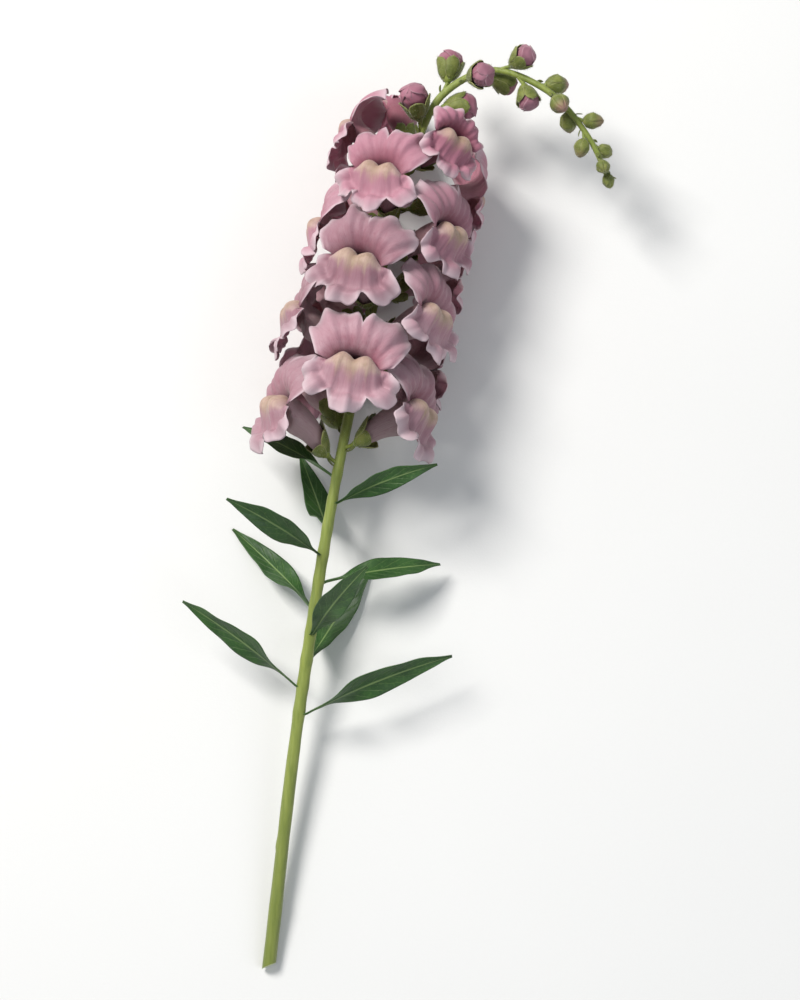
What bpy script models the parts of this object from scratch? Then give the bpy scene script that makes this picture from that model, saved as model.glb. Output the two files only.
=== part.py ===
"""One cut stem of snapdragon lying on a table, with its open florets, buds and leaves.

The stem lies along Y with its cut end at -Y. The flower spike is at +Y and its
soft tip nods over to +X. The lowest petals and the cut end touch the table.
Lengths in the formulas are millimetres, and meshes are made in metres.
"""
import math
import bpy
import numpy as np
from mathutils import Vector
from mathutils.bvhtree import BVHTree

MM = 0.001
DEG = math.pi / 180
NAME = "snapdragon_stem"

# Stem
ROUTE = (
    (-48.0, -278.0, 3.2),
    (-34.0, -160.0, 17.0),
    (-13.0, -34.0, 35.5),
    (7.0, 56.0, 36.5),
    (20.0, 104.0, 38.0),
    (33.0, 129.0, 41.0),
    (54.0, 139.0, 46.0),
    (80.0, 129.0, 50.0),
    (101.0, 106.0, 48.0),
    (112.0, 84.0, 43.0),
)
STEM_RADIUS_AT_CUT = 3.2
STEM_RADIUS_AT_SPIKE = 2.5
STEM_RADIUS_AT_TIP = 1.3
STEM_SIDES = 8
CUT_SLANT = 0.55

# Open florets
ARRANGEMENT = 17
OPEN_COUNT = 16
FIRST_FLORET = 246.0
FLORET_STEP = 9.0
TURN = 142.0
FIRST_AZIMUTH = 162.0
PETAL_THICKNESS = 0.7
CLEARANCE = 0.32
LIP_KEYS = 6
FLORET_RADIAL = 6.4
HALF_OPEN = (0.72, 0.42)
HALF_OPEN_STEP = 8.4
FLORET_BACK = 10.8
FLORET_SIZE = 1.10
DOWN_LIMIT = 34.0

# Buds
BUD_COUNT = 15
COLOURED_BUDS = 7
BRACTED_BUDS = 4

BUD_WIDTH = 0.72
FIRST_BUD_LENGTH = 17.0
LAST_BUD_LENGTH = 6.4
BUD_BACK = 4.4

# Leaves
LEAF_COUNT = 10
FIRST_LEAF = 118.0
LEAF_STEP = 12.4
LEAF_TURN = 137.5
LEAF_THICKNESS = 0.7

PETAL_COLOUR = (0.55, 0.27, 0.40)
YOUNG_COLOUR = (0.60, 0.20, 0.36)
GREEN_STEM = (0.24, 0.36, 0.10)
GREEN_LEAF = (0.055, 0.16, 0.035)


def unit(v):
    return v / np.linalg.norm(v)


def smooth(x, lo, hi):
    t = np.clip((x - lo) / (hi - lo), 0, 1)
    return t * t * (3 - 2 * t)


# The stem's line

def smooth_path(points, step=0.5):
    """A smooth curve through the points, sampled evenly along its length."""
    p = np.array(points)
    chord = np.concatenate([[0], np.cumsum(np.linalg.norm(np.diff(p, axis=0), axis=1))])
    slope = np.gradient(p, chord, axis=0)
    t = np.linspace(0, chord[-1], 2000)
    i = np.clip(np.searchsorted(chord, t, side="right") - 1, 0, len(p) - 2)
    h = (chord[i + 1] - chord[i])[:, None]
    x = ((t - chord[i]) / h[:, 0])[:, None]
    curve = (
        (2 * x**3 - 3 * x**2 + 1) * p[i]
        + (x**3 - 2 * x**2 + x) * h * slope[i]
        + (3 * x**2 - 2 * x**3) * p[i + 1]
        + (x**3 - x**2) * h * slope[i + 1]
    )
    run = np.concatenate([[0], np.cumsum(np.linalg.norm(np.diff(curve, axis=0), axis=1))])
    even = np.linspace(0, run[-1], int(run[-1] / step) + 1)
    return even, np.stack([np.interp(even, run, curve[:, k]) for k in range(3)], 1)


RUN, LINE = smooth_path(ROUTE)
LENGTH = float(RUN[-1])


def stem_point(s):
    return np.array([np.interp(s, RUN, LINE[:, k]) for k in range(3)])


def stem_axes(s):
    """Direction towards the tip, direction to the right and direction up, all square to each other."""
    along = unit(stem_point(min(s + 3, LENGTH)) - stem_point(max(s - 3, 0)))
    up = np.array([0.0, 0.0, 1.0])
    up = unit(up - along * along.dot(up))
    return along, np.cross(along, up), up


def stem_radius(s):
    spike = FIRST_FLORET - 20
    if s < spike:
        return STEM_RADIUS_AT_CUT + (STEM_RADIUS_AT_SPIKE - STEM_RADIUS_AT_CUT) * s / spike
    return STEM_RADIUS_AT_SPIKE + (STEM_RADIUS_AT_TIP - STEM_RADIUS_AT_SPIKE) * ((s - spike) / (LENGTH - spike)) ** 1.2


# The corolla, in its own axes: u to the side, v towards the tip of the stem, w out of the mouth

TUBE_W = (0.0, 3.5, 11.0, 18.5)
TUBE_WIDE = (2.0, 3.8, 6.0, 8.8)
TUBE_HIGH = (2.0, 3.6, 5.3, 6.8)
TUBE_LOW = (2.0, 4.5, 5.7, 6.2)


def lobe(x, sinus, power=2.3, blunt=0.62):
    """Outline of a rounded lobe: 1 in its middle, the sinus value at x = 1."""
    return sinus + (1 - sinus) * (1 - np.clip(np.abs(x), 0, 1) ** power) ** blunt


def rise(theta):
    """Angle above the line through the mouth's corners, in degrees, -90 below and 90 above."""
    deg = (theta / DEG + 90) % 360 - 90
    return np.where(deg > 90, 180 - deg, deg)


def reach(theta):
    """Share of its full length that each column of the corolla runs: the outline of the five lobes."""
    a = rise(theta)
    upper = np.where(a > 46, lobe((a - 46) / 44, 0.70), lobe((46 - a) / 46, 0.42, 2.4, 0.5))
    side = np.where(a > -32, lobe((a + 32) / 32, 0.42, 2.6, 0.5), lobe((-32 - a) / 29, 0.76))
    middle = lobe((a + 90) / 29, 0.76 / 0.98) * 0.98
    return np.where(a > 0, upper, np.where(a > -61, side, middle))


def bend_back(w):
    """How far the tube hangs below the mouth's axis at w."""
    return 7.0 * np.clip(1 - w / 20, 0, 1) ** 2


def columns(theta, opened):
    """Key points of every column: four along the tube and six along the lip."""
    c = np.cos(theta)
    s = np.sin(theta)
    key = np.zeros((len(theta), 4 + LIP_KEYS, 3))
    for i in range(4):
        key[:, i, 0] = TUBE_WIDE[i] * c
        key[:, i, 1] = np.where(s > 0, TUBE_HIGH[i], TUBE_LOW[i]) * s
        key[:, i, 2] = TUBE_W[i]
    corner = key[:, 3]
    fan = np.pi / 2 + (theta - np.pi / 2) * 0.66
    out = np.array((0.3, 0.0, -2.5, -6.0, -8.5, -9.5))
    out = out + (np.array((0.5, 2.7, 7.0, 12.0, 16.8, 20.6)) - out) * opened
    w = np.array((22.3, 26.0, 29.0, 30.8, 30.2, 28.0))
    w = w + (np.array((22.3, 26.4, 29.4, 29.6, 27.0, 22.4)) - w) * opened
    upper = np.zeros((len(theta), LIP_KEYS, 3))
    for j in range(LIP_KEYS):
        upper[:, j, 0] = corner[:, 0] + out[j] * np.cos(fan)
        upper[:, j, 1] = corner[:, 1] + out[j] * np.sin(fan)
        upper[:, j, 2] = w[j] - 0.16 * out[j] * np.abs(c) ** 1.5
    a = np.abs(c)
    hump = np.exp(-(((a - 0.46) / 0.32) ** 2))
    lower = np.zeros((len(theta), LIP_KEYS, 3))
    lower[:, 0] = np.stack([8.8 * c, -1.6 + 0 * c, 21.5 + 0 * c], 1)
    lower[:, 1] = np.stack([11.0 * c, 3.9 + 3.4 * hump - 2.2 * a**2, 25.4 + 0.6 * hump], 1)
    lower[:, 2] = np.stack([12.8 * c, 0.2 + 1.2 * hump - 1.2 * a**2, 32.4 + 2.4 * hump - 4.2 * a**3], 1)
    across = (13.8, 18.4, 23.0)
    down = (10.6, 16.4, 22.8)
    depth = (27.2, 30.2, 27.8)
    for j in range(3):
        fold = (1 - opened) * (4 + 3 * j)
        lower[:, 3 + j] = np.stack([
            (across[j] - fold) * c,
            (down[j] - fold) * s * 0.86 - 1.2,
            depth[j] + fold * 0.2 - (1.2 + 1.4 * j) * a**2,
        ], 1)
    above = smooth(rise(theta), -13, 13)[:, None, None]
    key[:, 4:] = upper * above + lower * (1 - above)
    key[:, :, 1] -= bend_back(key[:, :, 2])
    return key


def curve_at(key, m):
    """Points of the columns' smooth curves at the parameters m, one row of m a column."""
    last = key.shape[1] - 1
    i = np.clip(np.floor(m).astype(int), 0, last - 1)
    x = (m - i)[..., None]
    col = np.arange(key.shape[0])[:, None]
    a = key[col, np.clip(i - 1, 0, last)]
    b = key[col, i]
    c = key[col, i + 1]
    d = key[col, np.clip(i + 2, 0, last)]
    cubic = (-a + 3 * b - 3 * c + d) * x**3
    return 0.5 * (2 * b + (c - a) * x + (2 * a - 5 * b + 4 * c - d) * x**2 + cubic)


LOBES = ((46, 44), (134, 44), (-32, 30), (212, 30), (-90, 29))


def corolla(theta, tube_rows, lip_rows, seed, opened=1.0):
    """Sheet of points, columns by rows, each lobe tipped a little its own way."""
    share = reach(theta)
    key = columns(theta, opened)
    tube = np.tile(np.array(tube_rows, float), (len(theta), 1))
    m = np.concatenate([tube, 3 + LIP_KEYS * share[:, None] * np.array(lip_rows)[None, :]], 1)
    point = curve_at(key, m)
    run = np.clip((m - 3) / LIP_KEYS, 0, 1)
    draw = np.random.default_rng(1000 + seed)
    deg = theta / DEG
    for centre, half in LOBES:
        away = np.abs((deg - centre + 180) % 360 - 180)
        weight = (1 - np.clip(away / half, 0, 1) ** 2)[:, None] * run**2
        point[..., 2] += weight * draw.normal(0, 1.4)
        point[..., 0] += weight * draw.normal(0, 0.8)
    return point


RIGHT = (-74, -60, -42, -22, -4, 20, 50, 74)
COLUMN_DEG = (-90,) + RIGHT + (90,) + tuple(180 - a for a in reversed(RIGHT))
COLUMN_THETA = np.array(COLUMN_DEG) * DEG
TUBE_ROWS = (0.0, 1.0, 3.0)
LIP_ROWS = (0.17, 0.36, 0.64, 1.0)


# Placing

def axes_at(s, azimuth, tilt, roll):
    """Own axes u, v, w of a floret or bud, and the outward direction from the stem."""
    along, right, up = stem_axes(s)
    outward = right * math.cos(azimuth * DEG) + up * math.sin(azimuth * DEG)
    w = outward * math.cos(tilt * DEG) + along * math.sin(tilt * DEG)
    v = along * math.cos(tilt * DEG) - outward * math.sin(tilt * DEG)
    u = np.cross(v, w)
    turned_u = u * math.cos(roll * DEG) + v * math.sin(roll * DEG)
    turned_v = v * math.cos(roll * DEG) - u * math.sin(roll * DEG)
    return turned_u, turned_v, w, outward


def to_world(local, place):
    u, v, w, outward = axes_at(place["s"], place["azimuth"], place["tilt"], place["roll"])
    origin = stem_point(place["s"]) + outward * place["radial"]
    local = local * place["size"]
    return origin + local[..., :1] * u + local[..., 1:2] * v + local[..., 2:] * w


def rest_on_table(point, place, thickness):
    """Sheet points that would be under the table lie flat on it and are pushed outwards."""
    floor = thickness / 2
    sunk = np.clip(floor - point[..., 2], 0, None)[..., None]
    side = axes_at(place["s"], place["azimuth"], 0, 0)[3] * np.array([1, 1, 0])
    point = point + unit(side) * sunk * 0.7
    point[..., 2] = np.maximum(point[..., 2], floor)
    return point


def sheet_faces(n_col, n_row, closed=True):
    """Triangles of a sheet of columns by rows."""
    face = []
    for i in range(n_col if closed else n_col - 1):
        for j in range(n_row - 1):
            a = i * n_row + j
            b = ((i + 1) % n_col) * n_row + j
            if (i + j) % 2:
                face += [(a, b, b + 1), (a, b + 1, a + 1)]
            else:
                face += [(a, b, a + 1), (b, b + 1, a + 1)]
    return face


def sheet_normals(flat, face):
    f = np.array(face)
    n = np.cross(flat[f[:, 1]] - flat[f[:, 0]], flat[f[:, 2]] - flat[f[:, 0]])
    total = np.zeros_like(flat)
    for k in range(3):
        np.add.at(total, f[:, k], n)
    return total / np.maximum(np.linalg.norm(total, axis=1), 1e-9)[:, None]


def fat_tree(point, half, closed=True):
    """Search tree of both faces of a sheet, each moved out by half."""
    face = sheet_faces(point.shape[0], point.shape[1], closed)
    flat = point.reshape(-1, 3)
    n = sheet_normals(flat, face)
    both = np.concatenate([flat + n * half, flat - n * half])
    count = len(flat)
    return BVHTree.FromPolygons(both.tolist(), face + [(a + count, c + count, b + count) for a, b, c in face])


def keep_off_table(azimuth):
    """A floret that would point straight down is turned to the side by the table."""
    off = (azimuth + 90 + 180) % 360 - 180
    if abs(off) < DOWN_LIMIT:
        off = math.copysign(DOWN_LIMIT, off)
    return off - 90


def floret_places():
    """Open florets by rule, each with small seeded changes until it clears the ones before it."""
    draw = np.random.default_rng(ARRANGEMENT)
    placed = []
    trees = []
    total = OPEN_COUNT + len(HALF_OPEN)
    for k in range(total):
        young = k >= OPEN_COUNT
        s = FIRST_FLORET + FLORET_STEP * min(k, OPEN_COUNT - 1) + HALF_OPEN_STEP * max(0, k - OPEN_COUNT + 1)
        opened = HALF_OPEN[k - OPEN_COUNT] if young else 1.0
        for attempt in range(400):
            spread = 1 + attempt / 120
            size = FLORET_SIZE * (0.86 if young else 1 - 0.008 * k)
            place = {
                "s": s + draw.uniform(-1.5, 1.5),
                "azimuth": keep_off_table(FIRST_AZIMUTH - TURN * k + draw.uniform(-8, 8) * spread),
                "tilt": (16 if young else 10) + draw.uniform(-9, 9),
                "roll": draw.uniform(-9, 9) * spread,
                "radial": FLORET_RADIAL + draw.uniform(-0.5, 1.5),
                "size": size * (1 + draw.uniform(-0.03, 0.03) - attempt / 2600),
                "opened": opened,
                "seed": k,
            }
            point = to_world(corolla(COLUMN_THETA, TUBE_ROWS, LIP_ROWS, k, opened), place)
            point = rest_on_table(point, place, PETAL_THICKNESS)
            tree = fat_tree(point, PETAL_THICKNESS / 2 + CLEARANCE / 2)
            if not any(tree.overlap(other) for other in trees):
                break
        print("floret", k, "attempt", attempt, "size", round(place["size"], 3))
        placed.append(place)
        trees.append(tree)
    return placed, trees


def closed_bud(columns_round, rows, bulge=1.0):
    """Closed corolla of a bud, one unit long and half a unit in radius, its mouth folded to one side."""
    t = np.linspace(0, 1, rows)
    radius = 0.5 * np.interp(t, (0, 0.12, 0.35, 0.62, 0.82, 0.94, 1), (0.30, 0.58, 0.84, 1.0, 0.84, 0.50, 0.10))
    theta = np.linspace(0, 2 * np.pi, columns_round, endpoint=False)
    ring = np.zeros((columns_round, rows, 3))
    ring[..., 0] = np.cos(theta)[:, None] * radius
    ring[..., 1] = np.sin(theta)[:, None] * radius * bulge + 0.10 * np.sin(np.pi * t)
    ring[..., 2] = t
    return ring


def bud_places():
    """Buds by rule along the nodding tip, from the largest to the smallest."""
    draw = np.random.default_rng(21)
    start = FIRST_FLORET + FLORET_STEP * (OPEN_COUNT - 1) + HALF_OPEN_STEP * len(HALF_OPEN) + 6.0
    room = LENGTH - 5.0 - start
    placed = []
    for k in range(BUD_COUNT):
        share = k / (BUD_COUNT - 1)
        turn = k + OPEN_COUNT + len(HALF_OPEN)
        placed.append({
            "s": start + room * (1.30 * share - 0.30 * share**2),
            "azimuth": FIRST_AZIMUTH - TURN * turn + draw.uniform(-7, 7),
            "tilt": 34 + 12 * share + draw.uniform(-5, 5) + (34 if k == BUD_COUNT - 1 else 0),
            "roll": draw.uniform(-20, 20),
            "radial": 5.2 - 3.0 * share if k < BUD_COUNT - 1 else 0.3,
            "size": 1.0,
            "length": FIRST_BUD_LENGTH + (LAST_BUD_LENGTH - FIRST_BUD_LENGTH) * share**0.85,
            "seed": 60 + k,
        })
    return placed


# The green pieces that grow from the stem: each is a closed loft of rings

SEPALS = 5
RIM_SIDES = 2 * SEPALS


def ring_loft(rings):
    """Closed solid through rings of equal size, with a flat fan at each end."""
    n = len(rings[0])
    vert = np.concatenate(rings)
    face = []
    for r in range(len(rings) - 1):
        for i in range(n):
            a = r * n + i
            b = r * n + (i + 1) % n
            face += [(a, b, b + n), (a, b + n, a + n)]
    last = (len(rings) - 1) * n
    for i in range(1, n - 1):
        face.append((0, i + 1, i))
        face.append((last, last + i, last + i + 1))
    return vert, face


def tube_radius(w, sine):
    side = np.interp(w, TUBE_W, TUBE_WIDE)
    tall = np.where(sine > 0, np.interp(w, TUBE_W, TUBE_HIGH), np.interp(w, TUBE_W, TUBE_LOW))
    return np.sqrt((1 - sine**2) * side**2 + sine**2 * tall**2)


def root_ring(place, back, radius, sides=RIM_SIDES):
    """Ring sunk in the stem, from which a flower stalk grows."""
    u, v, w, outward = axes_at(place["s"], place["azimuth"], place["tilt"], place["roll"])
    s = place["s"] - back
    centre = stem_point(s) + outward * stem_radius(s) * 0.3
    turn = np.arange(sides)[:, None] * 2 * np.pi / sides
    return centre + radius * (np.cos(turn) * u + np.sin(turn) * v)


def floret_calyx(place):
    """Stalk and five-pointed cup that holds the base of an open floret's tube."""
    turn = np.arange(RIM_SIDES) * 2 * np.pi / RIM_SIDES + np.pi / 2
    sine = np.sin(turn)
    tip = np.arange(RIM_SIDES) % 2 == 0

    def ring(w, extra):
        w = np.broadcast_to(w, turn.shape).astype(float)
        r = tube_radius(np.maximum(w, 0), sine) + extra
        y = np.sin(turn) * r - 7.0 * (1 - w / 20) ** 2
        return to_world(np.stack([np.cos(turn) * r, y, w], 1), place)

    inner = PETAL_THICKNESS / 2 + 0.62
    rim_w = np.where(tip, 6.6, 2.9)
    rim = ring(rim_w, np.where(tip, 1.9, 1.35))
    rings = [
        np.roll(root_ring(place, FLORET_BACK * place["size"], 1.0), -2, axis=0),
        ring(-2.8, -0.95),
        ring(-1.5, 1.0),
        ring(1.6, 1.75),
        rim,
        ring(1.4, inner),
        ring(-0.7, inner - 0.6),
    ]
    return ring_loft(rings)


def bud_calyx(place):
    """Stalk and cup of a bud whose coloured corolla shows."""
    size = place["length"]
    turn = np.arange(RIM_SIDES) * 2 * np.pi / RIM_SIDES + np.pi / 2
    tip = np.arange(RIM_SIDES) % 2 == 0

    def ring(t, extra):
        t = np.broadcast_to(t, turn.shape).astype(float)
        base = np.interp(t, (0, 0.12, 0.35, 0.62, 0.82), (0.30, 0.58, 0.84, 1.0, 0.84)) * BUD_WIDTH / 2 * size
        r = base + extra
        y = np.sin(turn) * r + 0.10 * BUD_WIDTH * size * np.sin(np.pi * np.maximum(t, 0))
        return to_world(np.stack([np.cos(turn) * r, y, t * size], 1), place)

    rings = [
        np.roll(root_ring(place, BUD_BACK, 0.9), -2, axis=0),
        ring(-0.14, -0.3),
        ring(0.02, 1.2),
        ring(0.30, 1.35),
        ring(np.where(tip, 0.66, 0.40), np.where(tip, 0.95, 1.1)),
        ring(0.30, 0.62),
        ring(-0.04, 0.1),
    ]
    return ring_loft(rings)


def green_bud(place):
    """Small bud still shut inside its sepals."""
    size = place["length"]
    turn = np.arange(RIM_SIDES) * 2 * np.pi / RIM_SIDES + np.pi / 2
    ridge = np.where(np.arange(RIM_SIDES) % 2 == 0, 1.0, 0.86)

    def ring(t, radius):
        r = radius * size * ridge
        return to_world(np.stack([np.cos(turn) * r, np.sin(turn) * r, np.full(RIM_SIDES, t * size)], 1), place)

    rings = [
        np.roll(root_ring(place, 3.2, 0.7), -2, axis=0),
        ring(-0.12, 0.13),
        ring(0.10, 0.37),
        ring(0.48, 0.47),
        ring(0.84, 0.28),
        ring(1.0, 0.07),
    ]
    return ring_loft(rings)


def bract(place, back, length):
    """Small leafy scale below a flower stalk."""
    along, right, up = stem_axes(place["s"] - back)
    azimuth = place["azimuth"] * DEG
    outward = right * math.cos(azimuth) + up * math.sin(azimuth)
    side = np.cross(along, outward)
    s = place["s"] - back - 2.0
    start = stem_point(s) + outward * (stem_radius(s) - 1.2)
    way = unit(outward * 0.85 + along * 0.55)
    normal = np.cross(side, way)
    half = 0.32
    outline = [
        start,
        start + way * length * 0.45 + side * length * 0.22,
        start + way * length - normal * length * 0.08,
        start + way * length * 0.45 - side * length * 0.22,
    ]
    vert = np.array([q + normal * half for q in outline] + [q - normal * half for q in outline])
    face = [(0, 1, 3), (1, 2, 3), (4, 7, 5), (5, 7, 6)]
    for i in range(4):
        j = (i + 1) % 4
        face += [(i, i + 4, j + 4), (i, j + 4, j)]
    return vert, face


# Leaves

LEAF_ROWS = 8


def leaf_sheet(place, rows=LEAF_ROWS, across=3):
    """Leaf blade as a sheet, folded a little along its midrib and arching until it meets the table."""
    s = place["s"]
    along, right, up = stem_axes(s)
    azimuth = place["azimuth"] * DEG
    outward = right * math.cos(azimuth) + up * math.sin(azimuth)
    heading = unit(along * math.cos(place["tilt"] * DEG) + outward * math.sin(place["tilt"] * DEG))
    point = stem_point(s) + outward * (stem_radius(s) + 0.9)
    floor = LEAF_THICKNESS / 2
    steps = 60
    path = []
    for i in range(steps + 1):
        path.append((point.copy(), heading.copy()))
        point = point + heading * place["length"] / steps
        heading = unit(heading + (outward * 0.35 - np.array((0, 0, 1.0)) * place["droop"]) / steps)
        heading[2] = max(heading[2], -(point[2] - floor) / 14)
        heading = unit(heading)
    side = unit(np.cross(path[0][1], along))
    sheet = np.zeros((across, rows, 3))
    last = 0
    for j in range(rows):
        t = j / (rows - 1)
        centre, way = path[int(round(t * steps))]
        side = unit(side - way * side.dot(way))
        level = unit(np.cross(way, (0, 0, 1.0)) + way * 1e-6)
        if level.dot(side) < 0:
            level = -level
        lean = place["twist"] * smooth(t, 0.0, 0.5)
        blade = unit(side * (1 - lean) + level * lean)
        normal = np.cross(blade, way)
        if normal[2] < 0:
            normal = -normal
        half = place["width"] / 2 * leaf_outline(t)
        for i in range(across):
            x = 2 * i / (across - 1) - 1
            lift = abs(x) ** 1.5 * half * 0.22
            sheet[i, j] = centre + blade * x * half + normal * lift
    sheet[..., 2] = np.maximum(sheet[..., 2], floor)
    return sheet


def leaf_outline(t):
    """Half width of a lance-shaped leaf as a share of its widest."""
    return np.interp(t, (0, 0.10, 0.25, 0.42, 0.60, 0.78, 0.92, 1), (0.14, 0.30, 0.78, 1.0, 0.90, 0.58, 0.24, 0.05))


def leaf_places(trees):
    """Leaves by rule up the stem, each turned a little until it clears the florets and other leaves."""
    draw = np.random.default_rng(33)
    placed = []
    for k in range(LEAF_COUNT):
        for attempt in range(200):
            spread = 1 + attempt / 25
            place = {
                "s": FIRST_LEAF + LEAF_STEP * k,
                "azimuth": 20 + LEAF_TURN * k + draw.uniform(-8, 8) * spread,
                "tilt": 52 + 1.5 * k + draw.uniform(-8, 12),
                "length": (70 - 2.2 * k) * (1 + draw.uniform(-0.06, 0.06) - attempt / 500),
                "width": 15.0 - 0.35 * k + draw.uniform(-0.8, 0.8),
                "droop": 0.55 + draw.uniform(-0.25, 0.25),
                "twist": 0.55 + draw.uniform(-0.1, 0.15),
            }
            tree = fat_tree(leaf_sheet(place), LEAF_THICKNESS / 2 + CLEARANCE / 2, closed=False)
            if not any(tree.overlap(other) for other in trees):
                break
        print("leaf", k, "attempt", attempt, "length", round(place["length"], 1))
        placed.append(place)
        trees.append(tree)
    return placed


# Making the objects

def clear_scene():
    for obj in list(bpy.data.objects):
        bpy.data.objects.remove(obj)


def material(name, colour, roughness):
    mat = bpy.data.materials.new(name)
    mat.use_nodes = True
    shader = mat.node_tree.nodes["Principled BSDF"]
    shader.inputs["Base Color"].default_value = colour + (1.0,)
    shader.inputs["Roughness"].default_value = roughness
    shader.inputs["Metallic"].default_value = 0.0
    return mat


def mesh_object(name, vert, face, mat, collection):
    data = bpy.data.meshes.new(name)
    data.from_pydata((np.asarray(vert) * MM).tolist(), [], [tuple(f) for f in face])
    data.update()
    obj = bpy.data.objects.new(name, data)
    obj.data.materials.append(mat)
    collection.objects.link(obj)
    return obj


def apply_modifiers(obj):
    graph = bpy.context.evaluated_depsgraph_get()
    data = bpy.data.meshes.new_from_object(obj.evaluated_get(graph), depsgraph=graph)
    obj.modifiers.clear()
    obj.data = data
    return obj


def lay_flat(obj, below=0.16):
    """Points within a hair of the table lie exactly on it."""
    for vertex in obj.data.vertices:
        if vertex.co.z < below * MM:
            vertex.co.z = 0.0


def sheet_object(name, point, thickness, mat, collection, closed=True):
    face = sheet_faces(point.shape[0], point.shape[1], closed)
    obj = mesh_object(name, point.reshape(-1, 3), face, mat, collection)
    solid = obj.modifiers.new("thickness", "SOLIDIFY")
    solid.thickness = thickness * MM
    solid.offset = 0.0
    solid.use_even_offset = False
    apply_modifiers(obj)
    lay_flat(obj)
    return obj


def stem_object(mat, collection):
    """The round stem as a tapering bevelled curve, cut aslant at its lower end."""
    stations = np.concatenate([np.arange(0, 370, 24.0), np.arange(382, LENGTH - 3, 8.0), [LENGTH]])
    curve = bpy.data.curves.new("stem_line", "CURVE")
    curve.dimensions = "3D"
    curve.bevel_depth = MM
    curve.bevel_resolution = 2
    curve.use_fill_caps = True
    spline = curve.splines.new("POLY")
    spline.points.add(len(stations) - 1)
    for i, s in enumerate(stations):
        spline.points[i].co = tuple(stem_point(s) * MM) + (1.0,)
        spline.points[i].radius = stem_radius(s)
    line = bpy.data.objects.new("stem_line", curve)
    collection.objects.link(line)
    graph = bpy.context.evaluated_depsgraph_get()
    data = bpy.data.meshes.new_from_object(line.evaluated_get(graph), depsgraph=graph)
    bpy.data.objects.remove(line)
    stem = bpy.data.objects.new("stem", data)
    stem.data.materials.clear()
    stem.data.materials.append(mat)
    collection.objects.link(stem)
    weld = stem.modifiers.new("weld", "WELD")
    weld.merge_threshold = 0.00001
    apply_modifiers(stem)
    along, right, up = stem_axes(0)
    for vertex in stem.data.vertices:
        offset = np.array(vertex.co) / MM - np.array(ROUTE[0])
        if offset.dot(along) < 1.0:
            moved = np.array(vertex.co) + along * offset.dot(right + 0.4 * up) * CUT_SLANT * MM
            vertex.co = Vector(moved)
    return stem


def build():
    clear_scene()
    scene = bpy.context.scene.collection
    parts = bpy.data.collections.new(NAME)
    scene.children.link(parts)
    repeats = bpy.data.collections.new("stem_repeats")
    scene.children.link(repeats)
    petal = material("petal", PETAL_COLOUR, 0.6)
    young = material("young_petal", YOUNG_COLOUR, 0.55)
    green = material("stem_green", GREEN_STEM, 0.55)
    leafy = material("leaf_green", GREEN_LEAF, 0.5)

    stem = stem_object(green, parts)
    florets, trees = floret_places()
    buds = bud_places()
    for k, place in enumerate(florets):
        point = to_world(corolla(COLUMN_THETA, TUBE_ROWS, LIP_ROWS, place["seed"], place["opened"]), place)
        point = rest_on_table(point, place, PETAL_THICKNESS)
        opened = k < OPEN_COUNT
        name = "floret_%02d" % (k + 1) if opened else "opening_floret_%02d" % (k + 1 - OPEN_COUNT)
        sheet_object(name, point, PETAL_THICKNESS, petal if opened else young, parts)
        mesh_object("calyx_%02d" % k, *floret_calyx(place), green, repeats)
        mesh_object("bract_%02d" % k, *bract(place, FLORET_BACK * place["size"], 6.0), green, repeats)
    for k, place in enumerate(buds):
        if k < COLOURED_BUDS:
            ring = closed_bud(8, 7)
            ring = ring * np.array((BUD_WIDTH, BUD_WIDTH, 1.0)) * place["length"]
            ring = to_world(ring, place)
            vert, face = ring_loft([ring[:, j] for j in range(ring.shape[1])])
            mesh_object("bud_%02d" % (k + 1), vert, face, young, parts)
            mesh_object("bud_calyx_%02d" % k, *bud_calyx(place), green, repeats)
        else:
            mesh_object("green_bud_%02d" % k, *green_bud(place), green, repeats)
        if k < BRACTED_BUDS:
            mesh_object("bud_bract_%02d" % k, *bract(place, BUD_BACK, 5.2 - 0.1 * k), green, repeats)

    join = stem.modifiers.new("join", "BOOLEAN")
    join.operation = "UNION"
    join.operand_type = "COLLECTION"
    join.collection = repeats
    join.solver = "EXACT"
    apply_modifiers(stem)
    for obj in list(repeats.objects):
        bpy.data.objects.remove(obj)
    bpy.data.collections.remove(repeats)
    lay_flat(stem)

    solid = [tuple(v.co / MM) for v in stem.data.vertices]
    trees.append(BVHTree.FromPolygons(solid, [tuple(f.vertices) for f in stem.data.polygons]))
    for k, place in enumerate(leaf_places(trees)):
        name = "leaf_%02d" % (k + 1)
        sheet_object(name, leaf_sheet(place), LEAF_THICKNESS, leafy, parts, closed=False)

    everything = np.array([obj.matrix_world @ v.co for obj in parts.objects for v in obj.data.vertices])
    low = everything.min(axis=0)
    high = everything.max(axis=0)
    shift = Vector((-(low[0] + high[0]) / 2, -(low[1] + high[1]) / 2, -low[2]))
    for obj in parts.objects:
        for vertex in obj.data.vertices:
            vertex.co += shift
        obj.data.update()
    print("size mm", (high - low) / MM, "lowest", low[2] / MM)


build()
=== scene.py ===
"""Looks of the cut snapdragon stem: fine florets, buds, calyces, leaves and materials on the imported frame."""
import math
import bpy
import numpy as np
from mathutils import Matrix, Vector
from mathutils.bvhtree import BVHTree


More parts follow.
